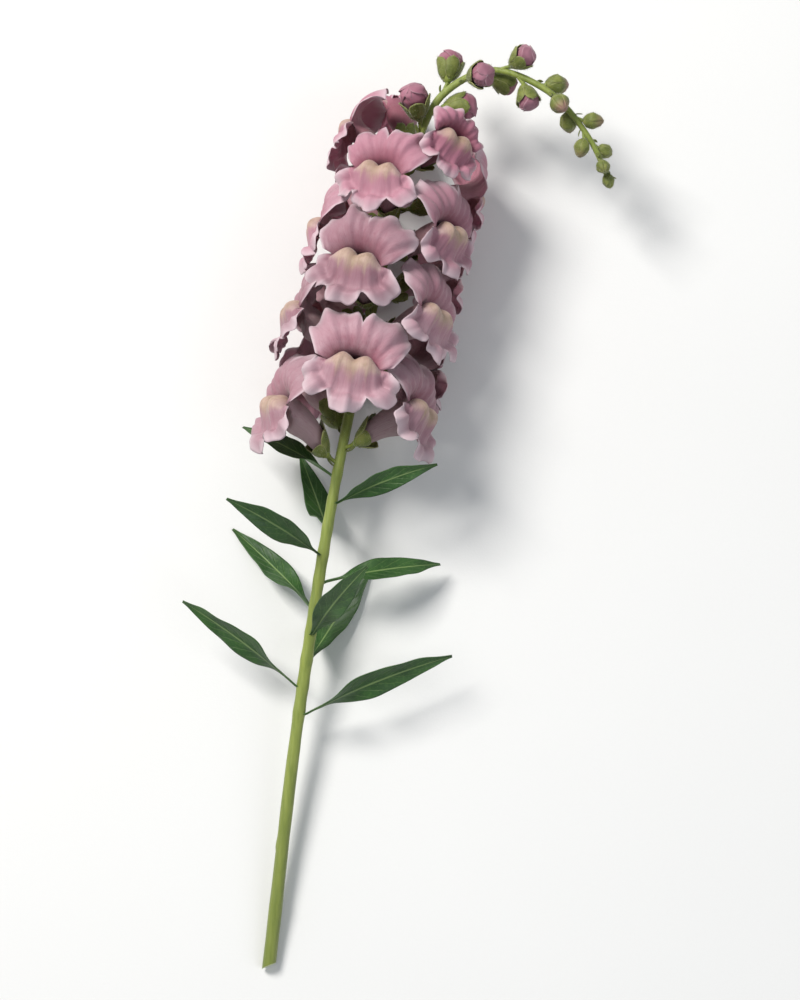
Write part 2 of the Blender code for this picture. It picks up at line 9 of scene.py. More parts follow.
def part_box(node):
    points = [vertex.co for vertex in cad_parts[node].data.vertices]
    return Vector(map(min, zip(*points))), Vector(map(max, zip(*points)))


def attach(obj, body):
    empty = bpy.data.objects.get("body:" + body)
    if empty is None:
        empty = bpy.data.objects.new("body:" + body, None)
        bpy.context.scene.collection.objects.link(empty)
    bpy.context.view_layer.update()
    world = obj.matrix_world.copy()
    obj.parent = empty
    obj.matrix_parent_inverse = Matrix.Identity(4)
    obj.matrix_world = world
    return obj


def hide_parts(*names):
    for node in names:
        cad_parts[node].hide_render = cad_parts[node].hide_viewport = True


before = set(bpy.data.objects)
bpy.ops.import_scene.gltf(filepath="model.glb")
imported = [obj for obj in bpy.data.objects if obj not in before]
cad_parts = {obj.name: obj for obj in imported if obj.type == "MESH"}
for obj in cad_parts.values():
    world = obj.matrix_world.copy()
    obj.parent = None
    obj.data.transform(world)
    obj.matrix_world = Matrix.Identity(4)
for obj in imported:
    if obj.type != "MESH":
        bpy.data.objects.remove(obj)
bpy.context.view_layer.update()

MM = 0.001
DEG = math.pi / 180

# The part's own sizes, in millimetres, as in its source

ROUTE = (
    (-48.0, -278.0, 3.2),
    (-34.0, -160.0, 17.0),
    (-13.0, -34.0, 35.5),
    (7.0, 56.0, 36.5),
    (20.0, 104.0, 38.0),
    (33.0, 129.0, 41.0),
    (54.0, 139.0, 46.0),
    (80.0, 129.0, 50.0),
    (101.0, 106.0, 48.0),
    (112.0, 84.0, 43.0),
)
STEM_RADIUS_AT_CUT = 3.2
STEM_RADIUS_AT_SPIKE = 2.5
STEM_RADIUS_AT_TIP = 1.3
CUT_SLANT = 0.55

# Open florets
ARRANGEMENT = 17
OPEN_COUNT = 16
FIRST_FLORET = 246.0
FLORET_STEP = 9.0
TURN = 142.0
FIRST_AZIMUTH = 162.0
PETAL_THICKNESS = 0.7
CLEARANCE = 0.32
LIP_KEYS = 6
FLORET_RADIAL = 6.4
HALF_OPEN = (0.72, 0.42)
HALF_OPEN_STEP = 8.4
FLORET_BACK = 10.8
FLORET_SIZE = 1.10
DOWN_LIMIT = 34.0

# Buds
BUD_COUNT = 15
COLOURED_BUDS = 7
BRACTED_BUDS = 4
BUD_WIDTH = 0.72
BUD_BEND = 0.10
BUD_PROFILE = (
    (0, 0.12, 0.35, 0.62, 0.82, 0.94, 1),
    (0.30, 0.58, 0.84, 1.0, 0.84, 0.50, 0.10),
)
FIRST_BUD_LENGTH = 17.0
LAST_BUD_LENGTH = 6.4
BUD_BACK = 4.4

# Calyx
SEPALS = 5

# Leaves
LEAF_COUNT = 10
FIRST_LEAF = 118.0
LEAF_STEP = 12.4
LEAF_TURN = 137.5
LEAF_THICKNESS = 0.7

# Seeds of the fine shapes, one more for each flower or leaf
TIP_SEED = 1000
FLORET_SEED = 5000
BUD_SEED = 300
LEAF_SEED = 400
SEPAL_SEED = 700


def unit(v):
    return v / np.linalg.norm(v)


def smooth(x, lo, hi):
    t = np.clip((x - lo) / (hi - lo), 0, 1)
    return t * t * (3 - 2 * t)


def bell(x, wide):
    return np.exp(-((x / wide) ** 2))


def across_and_along(n_col, n_row):
    """From -1 to 1 across a sheet and from 0 to 1 along it."""
    return np.linspace(-1, 1, n_col)[:, None], np.linspace(0, 1, n_row)[None, :]


def keep_above(point, floor=0.0):
    point[..., 2] = np.maximum(point[..., 2], floor)


# The stem's line

def smooth_path(points, step=0.5):
    """A smooth curve through the points, sampled evenly along its length."""
    p = np.array(points)
    chord = np.concatenate([[0], np.cumsum(np.linalg.norm(np.diff(p, axis=0), axis=1))])
    slope = np.gradient(p, chord, axis=0)
    t = np.linspace(0, chord[-1], 2000)
    i = np.clip(np.searchsorted(chord, t, side="right") - 1, 0, len(p) - 2)
    h = (chord[i + 1] - chord[i])[:, None]
    x = ((t - chord[i]) / h[:, 0])[:, None]
    curve = (
        (2 * x**3 - 3 * x**2 + 1) * p[i]
        + (x**3 - 2 * x**2 + x) * h * slope[i]
        + (3 * x**2 - 2 * x**3) * p[i + 1]
        + (x**3 - x**2) * h * slope[i + 1]
    )
    run = np.concatenate([[0], np.cumsum(np.linalg.norm(np.diff(curve, axis=0), axis=1))])
    even = np.linspace(0, run[-1], int(run[-1] / step) + 1)
    return even, np.stack([np.interp(even, run, curve[:, k]) for k in range(3)], 1)


RUN, LINE = smooth_path(ROUTE)
LENGTH = float(RUN[-1])


def stem_point(s):
    return np.array([np.interp(s, RUN, LINE[:, k]) for k in range(3)])


def stem_axes(s):
    """Direction towards the tip, direction to the right and direction up, all square to each other."""
    along = unit(stem_point(min(s + 3, LENGTH)) - stem_point(max(s - 3, 0)))
    up = np.array([0.0, 0.0, 1.0])
    up = unit(up - along * along.dot(up))
    return along, np.cross(along, up), up


def stem_side(s, azimuth):
    """Direction towards the tip, and the direction out of the stem at an angle round it."""
    along, right, up = stem_axes(s)
    return along, right * math.cos(azimuth * DEG) + up * math.sin(azimuth * DEG)


def stem_radius(s):
    spike = FIRST_FLORET - 20
    if s < spike:
        return STEM_RADIUS_AT_CUT + (STEM_RADIUS_AT_SPIKE - STEM_RADIUS_AT_CUT) * s / spike
    share = ((s - spike) / (LENGTH - spike)) ** 1.2
    return STEM_RADIUS_AT_SPIKE + (STEM_RADIUS_AT_TIP - STEM_RADIUS_AT_SPIKE) * share


# The corolla, in its own axes: u to the side, v towards the tip of the stem, w out of the mouth

TUBE_W = (0.0, 3.5, 11.0, 18.5)
TUBE_WIDE = (2.0, 3.8, 6.0, 8.8)
TUBE_HIGH = (2.0, 3.6, 5.3, 6.8)
TUBE_LOW = (2.0, 4.5, 5.7, 6.2)


def lobe(x, sinus, power=2.3, blunt=0.62):
    """Outline of a rounded lobe: 1 in its middle, the sinus value at x = 1."""
    return sinus + (1 - sinus) * (1 - np.clip(np.abs(x), 0, 1) ** power) ** blunt


def rise(theta):
    """Angle above the line through the mouth's corners, in degrees, -90 below and 90 above."""
    deg = (theta / DEG + 90) % 360 - 90
    return np.where(deg > 90, 180 - deg, deg)


def reach(theta):
    """Share of its full length that each column of the corolla runs: the outline of the five lobes."""
    a = rise(theta)
    upper = np.where(a > 46, lobe((a - 46) / 44, 0.70), lobe((46 - a) / 46, 0.42, 2.4, 0.5))
    side = np.where(a > -32, lobe((a + 32) / 32, 0.42, 2.6, 0.5), lobe((-32 - a) / 29, 0.76))
    middle = lobe((a + 90) / 29, 0.76 / 0.98) * 0.98
    return np.where(a > 0, upper, np.where(a > -61, side, middle))


def bend_back(w):
    """How far the tube hangs below the mouth's axis at w."""
    return 7.0 * np.clip(1 - w / 20, 0, 1) ** 2


def columns(theta, opened):
    """Key points of every column: four along the tube and six along the lip."""
    c = np.cos(theta)
    s = np.sin(theta)
    key = np.zeros((len(theta), 4 + LIP_KEYS, 3))
    for i in range(4):
        key[:, i] = np.stack([TUBE_WIDE[i] * c, np.where(s > 0, TUBE_HIGH[i], TUBE_LOW[i]) * s, TUBE_W[i] + 0 * c], 1)
    corner = key[:, 3]
    fan = np.pi / 2 + (theta - np.pi / 2) * 0.66
    out = np.array((0.3, 0.0, -2.5, -6.0, -8.5, -9.5))
    out = out + (np.array((0.5, 2.7, 7.0, 12.0, 16.8, 20.6)) - out) * opened
    w = np.array((22.3, 26.0, 29.0, 30.8, 30.2, 28.0))
    w = w + (np.array((22.3, 26.4, 29.4, 29.6, 27.0, 22.4)) - w) * opened
    a = np.abs(c)
    upper = np.stack([
        corner[:, :1] + out * np.cos(fan)[:, None],
        corner[:, 1:2] + out * np.sin(fan)[:, None],
        w - 0.16 * out * a[:, None] ** 1.5,
    ], -1)
    hump = bell(a - 0.46, 0.32)
    lower = np.zeros((len(theta), LIP_KEYS, 3))
    lower[:, 0] = np.stack([8.8 * c, -1.6 + 0 * c, 21.5 + 0 * c], 1)
    lower[:, 1] = np.stack([11.0 * c, 3.9 + 3.4 * hump - 2.2 * a**2, 25.4 + 0.6 * hump], 1)
    lower[:, 2] = np.stack([12.8 * c, 0.2 + 1.2 * hump - 1.2 * a**2, 32.4 + 2.4 * hump - 4.2 * a**3], 1)
    across = (13.8, 18.4, 23.0)
    down = (10.6, 16.4, 22.8)
    depth = (27.2, 30.2, 27.8)
    for j in range(3):
        fold = (1 - opened) * (4 + 3 * j)
        lower[:, 3 + j] = np.stack([
            (across[j] - fold) * c,
            (down[j] - fold) * s * 0.86 - 1.2,
            depth[j] + fold * 0.2 - (1.2 + 1.4 * j) * a**2,
        ], 1)
    above = smooth(rise(theta), -13, 13)[:, None, None]
    key[:, 4:] = upper * above + lower * (1 - above)
    key[:, :, 1] -= bend_back(key[:, :, 2])
    return key


def curve_at(key, m):
    """Points of the columns' smooth curves at the parameters m, one row of m a column."""
    last = key.shape[1] - 1
    i = np.clip(np.floor(m).astype(int), 0, last - 1)
    x = (m - i)[..., None]
    col = np.arange(key.shape[0])[:, None]
    a = key[col, np.clip(i - 1, 0, last)]
    b = key[col, i]
    c = key[col, i + 1]
    d = key[col, np.clip(i + 2, 0, last)]
    cubic = (-a + 3 * b - 3 * c + d) * x**3
    return 0.5 * (2 * b + (c - a) * x + (2 * a - 5 * b + 4 * c - d) * x**2 + cubic)


LOBES = ((46, 44), (134, 44), (-32, 30), (212, 30), (-90, 29))


def tip_lobes(point, theta, run, seed):
    """Tip each of the five lobes a little its own way."""
    draw = np.random.default_rng(TIP_SEED + seed)
    deg = theta / DEG
    for centre, half in LOBES:
        away = np.abs((deg - centre + 180) % 360 - 180)
        weight = (1 - np.clip(away / half, 0, 1) ** 2)[:, None] * run**2
        point[..., 2] += weight * draw.normal(0, 1.4)
        point[..., 0] += weight * draw.normal(0, 0.8)


def corolla(theta, tube_rows, lip_rows, seed, opened=1.0):
    """Sheet of points of a corolla, columns by rows."""
    share = reach(theta)
    key = columns(theta, opened)
    tube = np.tile(np.array(tube_rows, float), (len(theta), 1))
    m = np.concatenate([tube, 3 + LIP_KEYS * share[:, None] * np.array(lip_rows)[None, :]], 1)
    point = curve_at(key, m)
    tip_lobes(point, theta, np.clip((m - 3) / LIP_KEYS, 0, 1), seed)
    return point


RIGHT = (-74, -60, -42, -22, -4, 20, 50, 74)
COLUMN_DEG = (-90,) + RIGHT + (90,) + tuple(180 - a for a in reversed(RIGHT))
COLUMN_THETA = np.array(COLUMN_DEG) * DEG
TUBE_ROWS = (0.0, 1.0, 3.0)
LIP_ROWS = (0.17, 0.36, 0.64, 1.0)


# Placing

def axes_at(place):
    """Own axes u, v, w of a floret or bud, and the outward direction from the stem."""
    along, outward = stem_side(place["s"], place["azimuth"])
    tilt = place["tilt"] * DEG
    roll = place["roll"] * DEG
    w = outward * math.cos(tilt) + along * math.sin(tilt)
    v = along * math.cos(tilt) - outward * math.sin(tilt)
    u = np.cross(v, w)
    return u * math.cos(roll) + v * math.sin(roll), v * math.cos(roll) - u * math.sin(roll), w, outward


def to_world(local, place):
    u, v, w, outward = axes_at(place)
    origin = stem_point(place["s"]) + outward * place["radial"]
    local = local * place["size"]
    return origin + local[..., :1] * u + local[..., 1:2] * v + local[..., 2:] * w


def rest_on_table(point, place, thickness):
    """Sheet points that would be under the table lie flat on it and are pushed outwards."""
    floor = thickness / 2
    sunk = np.clip(floor - point[..., 2], 0, None)[..., None]
    side = stem_side(place["s"], place["azimuth"])[1] * np.array([1, 1, 0])
    point = point + unit(side) * sunk * 0.7
    keep_above(point, floor)
    return point


def sheet_faces(n_col, n_row, closed=True):
    """Triangles of a sheet of columns by rows."""
    face = []
    for i in range(n_col if closed else n_col - 1):
        for j in range(n_row - 1):
            a = i * n_row + j
            b = ((i + 1) % n_col) * n_row + j
            if (i + j) % 2:
                face += [(a, b, b + 1), (a, b + 1, a + 1)]
            else:
                face += [(a, b, a + 1), (b, b + 1, a + 1)]
    return face


def sheet_normals(flat, face):
    f = np.array(face)
    n = np.cross(flat[f[:, 1]] - flat[f[:, 0]], flat[f[:, 2]] - flat[f[:, 0]])
    total = np.zeros_like(flat)
    for k in range(3):
        np.add.at(total, f[:, k], n)
    return total / np.maximum(np.linalg.norm(total, axis=1), 1e-9)[:, None]


def fat_tree(point, half, closed=True):
    """Search tree of both faces of a sheet, each moved out by half."""
    face = sheet_faces(point.shape[0], point.shape[1], closed)
    flat = point.reshape(-1, 3)
    n = sheet_normals(flat, face)
    both = np.concatenate([flat + n * half, flat - n * half])
    count = len(flat)
    return BVHTree.FromPolygons(both.tolist(), face + [(a + count, c + count, b + count) for a, b, c in face])


def keep_off_table(azimuth):
    """A floret that would point straight down is turned to the side by the table."""
    off = (azimuth + 90 + 180) % 360 - 180
    if abs(off) < DOWN_LIMIT:
        off = math.copysign(DOWN_LIMIT, off)
    return off - 90


def floret_places():
    """Open florets by rule, each with small seeded changes until it clears the ones before it."""
    draw = np.random.default_rng(ARRANGEMENT)
    placed = []
    trees = []
    for k in range(OPEN_COUNT + len(HALF_OPEN)):
        young = k >= OPEN_COUNT
        s = FIRST_FLORET + FLORET_STEP * min(k, OPEN_COUNT - 1) + HALF_OPEN_STEP * max(0, k - OPEN_COUNT + 1)
        opened = HALF_OPEN[k - OPEN_COUNT] if young else 1.0
        for attempt in range(400):
            spread = 1 + attempt / 120
            size = FLORET_SIZE * (0.86 if young else 1 - 0.008 * k)
            place = {
                "s": s + draw.uniform(-1.5, 1.5),
                "azimuth": keep_off_table(FIRST_AZIMUTH - TURN * k + draw.uniform(-8, 8) * spread),
                "tilt": (16 if young else 10) + draw.uniform(-9, 9),
                "roll": draw.uniform(-9, 9) * spread,
                "radial": FLORET_RADIAL + draw.uniform(-0.5, 1.5),
                "size": size * (1 + draw.uniform(-0.03, 0.03) - attempt / 2600),
                "opened": opened,
                "seed": k,
            }
            point = to_world(corolla(COLUMN_THETA, TUBE_ROWS, LIP_ROWS, k, opened), place)
            point = rest_on_table(point, place, PETAL_THICKNESS)
            tree = fat_tree(point, PETAL_THICKNESS / 2 + CLEARANCE / 2)
            if not any(tree.overlap(other) for other in trees):
                break
        placed.append(place)
        trees.append(tree)
    return placed, trees


def closed_bud(sides, rows, size):
    """Closed corolla of a bud, its mouth folded to one side."""
    t = np.linspace(0, 1, rows)
    radius = 0.5 * np.interp(t, *BUD_PROFILE)
    theta = np.linspace(0, 2 * np.pi, sides, endpoint=False)[:, None]
    ring = np.stack([np.cos(theta) * radius, np.sin(theta) * radius + BUD_BEND * np.sin(np.pi * t), t + 0 * theta], -1)
    return ring * np.array((BUD_WIDTH, BUD_WIDTH, 1.0)) * size


def bud_places():
    """Buds by rule along the nodding tip, from the largest to the smallest."""
    draw = np.random.default_rng(21)
    start = FIRST_FLORET + FLORET_STEP * (OPEN_COUNT - 1) + HALF_OPEN_STEP * len(HALF_OPEN) + 6.0
    room = LENGTH - 5.0 - start
    placed = []
    for k in range(BUD_COUNT):
        share = k / (BUD_COUNT - 1)
        turn = k + OPEN_COUNT + len(HALF_OPEN)
        placed.append({
            "s": start + room * (1.30 * share - 0.30 * share**2),
            "azimuth": FIRST_AZIMUTH - TURN * turn + draw.uniform(-7, 7),
            "tilt": 34 + 12 * share + draw.uniform(-5, 5) + (34 if k == BUD_COUNT - 1 else 0),
            "roll": draw.uniform(-20, 20),
            "radial": 5.2 - 3.0 * share if k < BUD_COUNT - 1 else 0.3,
            "size": 1.0,
            "length": FIRST_BUD_LENGTH + (LAST_BUD_LENGTH - FIRST_BUD_LENGTH) * share**0.85,
            "seed": 60 + k,
        })
    return placed


def tube_radius(w, sine):
    side = np.interp(w, TUBE_W, TUBE_WIDE)
    tall = np.where(sine > 0, np.interp(w, TUBE_W, TUBE_HIGH), np.interp(w, TUBE_W, TUBE_LOW))
    return np.sqrt((1 - sine**2) * side**2 + sine**2 * tall**2)


LEAF_ROWS = 8
LEAF_PROFILE = ((0, 0.10, 0.25, 0.42, 0.60, 0.78, 0.92, 1), (0.14, 0.30, 0.78, 1.0, 0.90, 0.58, 0.24, 0.05))


def leaf_sheet(place, rows=LEAF_ROWS, across=3, soft=0.0):
    """Leaf blade as a sheet, folded a little along its midrib and arching until it meets the table."""
    s = place["s"]
    along, outward = stem_side(s, place["azimuth"])
    heading = unit(along * math.cos(place["tilt"] * DEG) + outward * math.sin(place["tilt"] * DEG))
    point = stem_point(s) + outward * (stem_radius(s) + 0.9)
    floor = LEAF_THICKNESS / 2
    steps = 60
    path = []
    for i in range(steps + 1):
        path.append((point.copy(), heading.copy()))
        point = point + heading * place["length"] / steps
        heading = unit(heading + (outward * 0.35 - np.array((0, 0, 1.0)) * place["droop"]) / steps)
        heading[2] = max(heading[2], -(point[2] - floor) / 14)
        heading = unit(heading)
    side = unit(np.cross(path[0][1], along))
    sheet = np.zeros((across, rows, 3))
    for j in range(rows):
        t = j / (rows - 1)
        centre, way = path[int(round(t * steps))]
        side = unit(side - way * side.dot(way))
        level = unit(np.cross(way, (0, 0, 1.0)) + way * 1e-6)
        if level.dot(side) < 0:
            level = -level
        lean = place["twist"] * smooth(t, 0.0, 0.5)
        blade = unit(side * (1 - lean) + level * lean)
        normal = np.cross(blade, way)
        if normal[2] < 0:
            normal = -normal
        half = place["width"] / 2 * float(np.mean(leaf_outline(t + soft * np.linspace(-1, 1, 9))))
        for i in range(across):
            x = 2 * i / (across - 1) - 1
            lift = abs(x) ** 1.5 * half * 0.22
            sheet[i, j] = centre + blade * x * half + normal * lift
    keep_above(sheet, floor)
    return sheet


def leaf_outline(t):
    """Half width of a lance-shaped leaf as a share of its widest."""
    return np.interp(t, *LEAF_PROFILE)


def leaf_places(trees):
    """Leaves by rule up the stem, each turned a little until it clears the florets and other leaves."""
    draw = np.random.default_rng(33)
    placed = []
    for k in range(LEAF_COUNT):
        for attempt in range(200):
            spread = 1 + attempt / 25
            place = {
                "s": FIRST_LEAF + LEAF_STEP * k,
                "azimuth": 20 + LEAF_TURN * k + draw.uniform(-8, 8) * spread,
                "tilt": 52 + 1.5 * k + draw.uniform(-8, 12),
                "length": (70 - 2.2 * k) * (1 + draw.uniform(-0.06, 0.06) - attempt / 500),
                "width": 15.0 - 0.35 * k + draw.uniform(-0.8, 0.8),
                "droop": 0.55 + draw.uniform(-0.25, 0.25),
                "twist": 0.55 + draw.uniform(-0.1, 0.15),
            }
            tree = fat_tree(leaf_sheet(place), LEAF_THICKNESS / 2 + CLEARANCE / 2, closed=False)
            if not any(tree.overlap(other) for other in trees):
                break
        placed.append(place)
        trees.append(tree)
    return placed


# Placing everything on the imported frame

BUDS = bud_places()
LOW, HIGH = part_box("bud_01")
FIRST_BUD = to_world(closed_bud(8, 7, BUDS[0]["length"]), BUDS[0]).reshape(-1, 3)
SHIFT = np.array((LOW + HIGH) / 2) / MM - (FIRST_BUD.min(axis=0) + FIRST_BUD.max(axis=0)) / 2
SHIFT[2] = 0.0
FLORETS, TREES = floret_places()
STEM_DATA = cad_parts["stem"].data
STEM_POINTS = [tuple(np.array(v.co) / MM - SHIFT) for v in STEM_DATA.vertices]
TREES.append(BVHTree.FromPolygons(STEM_POINTS, [tuple(f.vertices) for f in STEM_DATA.polygons]))
LEAVES = leaf_places(TREES)


# Mesh making

PETAL_VALUES = ("run", "palate", "inside", "edge", "tone", "young")
GREEN_VALUES = ("edge", "tone", "tip")


def new_object(name, data):
    obj = bpy.data.objects.new(name, data)
    bpy.context.scene.collection.objects.link(obj)
    return obj


class Bundle:
    """Points, faces and per-point values of several small pieces that become one object."""

    def __init__(self, *keys):
        self.point = []
        self.face = []
        self.value = {key: [] for key in keys}
        self.count = 0

    def add(self, point, face, **value):
        """Take in a piece; a value that isn't given is 0."""
        point = np.asarray(point, float).reshape(-1, 3)
        for f in face:
            self.face.append(tuple(i + self.count for i in f))
        for key, kept in self.value.items():
            kept.append(np.broadcast_to(value.get(key, 0.0), len(point)))
        self.point.append(point)
        self.count += len(point)

    def make(self, name, material, slot, nodes, uv=None):
        point = (np.concatenate(self.point) + SHIFT) * MM
        data = bpy.data.meshes.new(name)
        data.from_pydata(point.tolist(), [], self.face)
        for key, parts in self.value.items():
            layer = data.attributes.new(key, "FLOAT", "POINT")
            layer.data.foreach_set("value", np.concatenate(parts).astype(np.float32))
        if uv is not None:
            layer = data.uv_layers.new(name="UVMap")
            layer.data.foreach_set("uv", np.asarray(uv, np.float32).ravel())
        data.polygons.foreach_set("use_smooth", np.ones(len(data.polygons), bool))
        data.update()
        data.materials.append(material)
        obj = new_object(name, data)
        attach(obj, "root")
        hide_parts(*nodes)


def grid_normals(point, wrap):
    """Unit normals of a grid of points, columns by rows; wrap joins its last column to its first."""
    if wrap:
        du = np.roll(point, -1, axis=0) - np.roll(point, 1, axis=0)
    else:
        du = np.gradient(point, axis=0)
    dv = np.gradient(point, axis=1)
    n = np.cross(du, dv)
    return n / np.maximum(np.linalg.norm(n, axis=2, keepdims=True), 1e-9)


def twice(value):
    """One value per grid point, given to both faces of a thin solid."""
    return np.concatenate([np.ravel(value)] * 2)


def thick_grid(point, thickness, wrap):
    """Closed thin solid from a grid: points, faces, grid place of every face corner, side of every point."""
    n_col, n_row = point.shape[:2]
    n = grid_normals(point, wrap)
    half = np.broadcast_to(np.asarray(thickness, float) / 2, (n_col, n_row))[..., None]
    vert = np.concatenate([(point + n * half).reshape(-1, 3), (point - n * half).reshape(-1, 3)])
    other = n_col * n_row
    face = []
    corner = []

    def quad(places, sides):
        face.append(tuple((i % n_col) * n_row + j + side * other for (i, j), side in zip(places, sides)))
        corner.extend(places)

    def rim(a, b):
        quad([a, b, b, a], (0, 0, 1, 1))

    for i in range(n_col if wrap else n_col - 1):
        for j in range(n_row - 1):
            quad([(i, j), (i + 1, j), (i + 1, j + 1), (i, j + 1)], (0, 0, 0, 0))
            quad([(i, j), (i, j + 1), (i + 1, j + 1), (i + 1, j)], (1, 1, 1, 1))
        rim((i + 1, 0), (i, 0))
        rim((i, n_row - 1), (i + 1, n_row - 1))
    if not wrap:
        for j in range(n_row - 1):
            rim((0, j), (0, j + 1))
        for j in range(n_row - 1):
            rim((n_col - 1, j + 1), (n_col - 1, j))
    side = np.concatenate([np.zeros(other), np.ones(other)])
    return vert, face, corner, side


def closed_sheet(n_col, n_row):
    """Faces and their corners' grid places of a round grid, columns by rows, with both ends capped."""
    quads = [[(i, j), (i + 1, j), (i + 1, j + 1), (i, j + 1)] for i in range(n_col) for j in range(n_row - 1)]
    quads.append([(i, 0) for i in reversed(range(n_col))])
    quads.append([(i, n_row - 1) for i in range(n_col)])
    face = [tuple((i % n_col) * n_row + j for i, j in quad) for quad in quads]
    return face, [corner for quad in quads for corner in quad]


def round_grid(place, turn, radius, centre, w):
    """Grid of points round a flower's own axis, moved to its place."""
    return to_world(np.stack([np.cos(turn) * radius, np.sin(turn) * radius + centre, w], -1), place)


def ring_faces(count, sides):
    """Faces between rings of points that follow each other."""
    face = []
    for k in range(count - 1):
        for i in range(sides):
            a = k * sides + i
            b = k * sides + (i + 1) % sides
            face.append((a, a + sides, b + sides, b))
    return face


def tube_mesh(path, radius, sides):
    """Closed round tube along a path of points."""
    along = np.gradient(path, axis=0)
    along /= np.maximum(np.linalg.norm(along, axis=1, keepdims=True), 1e-9)
    side = np.cross(along[0], (0.0, 0.0, 1.0) if abs(along[0][2]) < 0.9 else (1.0, 0.0, 0.0))
    turn = np.arange(sides) * 2 * np.pi / sides
    vert = []
    for k in range(len(path)):
        side = unit(side - along[k] * side.dot(along[k]))
        up = np.cross(side, along[k])
        vert.append(path[k] + radius[k] * (np.cos(turn)[:, None] * side + np.sin(turn)[:, None] * up))
    face = ring_faces(len(path), sides)
    face.append(tuple(range(sides)))
    last = (len(path) - 1) * sides
    face.append(tuple(last + i for i in reversed(range(sides))))
    return np.concatenate(vert), face


# Materials

class Shader:
    """Short names for building a material's nodes."""

    def __init__(self, name):
        self.material = bpy.data.materials.new(name)
        self.material.use_nodes = True
        self.tree = self.material.node_tree
        self.tree.nodes.clear()
        self.out = self.tree.nodes.new("ShaderNodeOutputMaterial")

    def node(self, kind, inputs=None, **settings):
        """New node; inputs gives its sockets, by number or name, a value or another node's output."""
        made = self.tree.nodes.new("ShaderNode" + kind)
        for key, value in settings.items():
            setattr(made, key, value)
        for key, value in (inputs or {}).items():
            if isinstance(value, bpy.types.NodeSocket):
                self.tree.links.new(value, made.inputs[key])
            elif value is not None:
                made.inputs[key].default_value = value
        return made

    def math(self, operation, a, b=0.0, c=0.0):
        return self.node("Math", {0: a, 1: b, 2: c}, operation=operation).outputs[0]

    def mul(self, a, b):
        return self.math("MULTIPLY", a, b)

    def mul_add(self, a, b, c):
        return self.math("MULTIPLY_ADD", a, b, c)

    def add(self, a, b):
        return self.math("ADD", a, b)

    def sub(self, a, b):
        return self.math("SUBTRACT", a, b)

    def value(self, name):
        return self.node("Attribute", attribute_name=name).outputs["Fac"]

    def mix(self, factor, a, b, blend="MIX"):
        a, b = (c + (1.0,) if isinstance(c, tuple) else c for c in (a, b))
        made = self.node("Mix", {0: factor, 6: a, 7: b}, data_type="RGBA", blend_type=blend, clamp_factor=True)
        return made.outputs[2]

    def step(self, value, lo, hi):
        return self.node("MapRange", {0: value, 1: lo, 2: hi}, interpolation_type="SMOOTHSTEP").outputs[0]

    def tint(self, colour, other, value, lo, hi, share=1.0):
        """Mix the share of another colour in as the value goes from lo to hi."""
        mask = self.step(value, lo, hi)
        return self.mix(mask if share == 1.0 else self.mul(mask, share), colour, other)

    def object_place(self):
        return self.node("TexCoord").outputs["Object"]

    def uv_place(self):
        """The UV map as a vector, and its two parts."""
        uv = self.node("UVMap", uv_map="UVMap").outputs[0]
        return uv, *self.node("SeparateXYZ", {0: uv}).outputs[:2]

    def noise(self, scale, detail=3.0, vector=None, roughness=0.5):
        place = self.object_place() if vector is None else vector
        made = self.node("TexNoise", {"Vector": place, "Scale": scale, "Detail": detail, "Roughness": roughness})
        return made.outputs["Fac"]

    def bump(self, height, distance, strength, normal=None):
        made = self.node("Bump", {"Height": height, "Distance": distance, "Strength": strength, "Normal": normal})
        return made.outputs[0]

    def finish(self, colour, roughness, normal, sheen=0.0, translucent=0.0, glow=None, specular=0.4):
        skin = self.node("BsdfPrincipled", {
            "Base Color": colour, "Roughness": roughness, "Normal": normal, "Sheen Weight": sheen,
            "Sheen Roughness": 0.4, "Specular IOR Level": specular,
        })
        if translucent:
            thin = self.node("BsdfTranslucent", {"Color": colour if glow is None else glow})
            skin = self.node("MixShader", {0: translucent, 1: skin.outputs[0], 2: thin.outputs[0]})
        self.tree.links.new(skin.outputs[0], self.out.inputs["Surface"])
        return self.material


def vein_lines(s, across, count, width, wander):
    """Thin lines where across times count passes a whole number, wandering a little."""
    shifted = s.add(s.mul(across, count), wander)
    away = s.math("ABSOLUTE", s.sub(s.math("FRACT", shifted), 0.5))
    return s.step(away, width, 0.0)


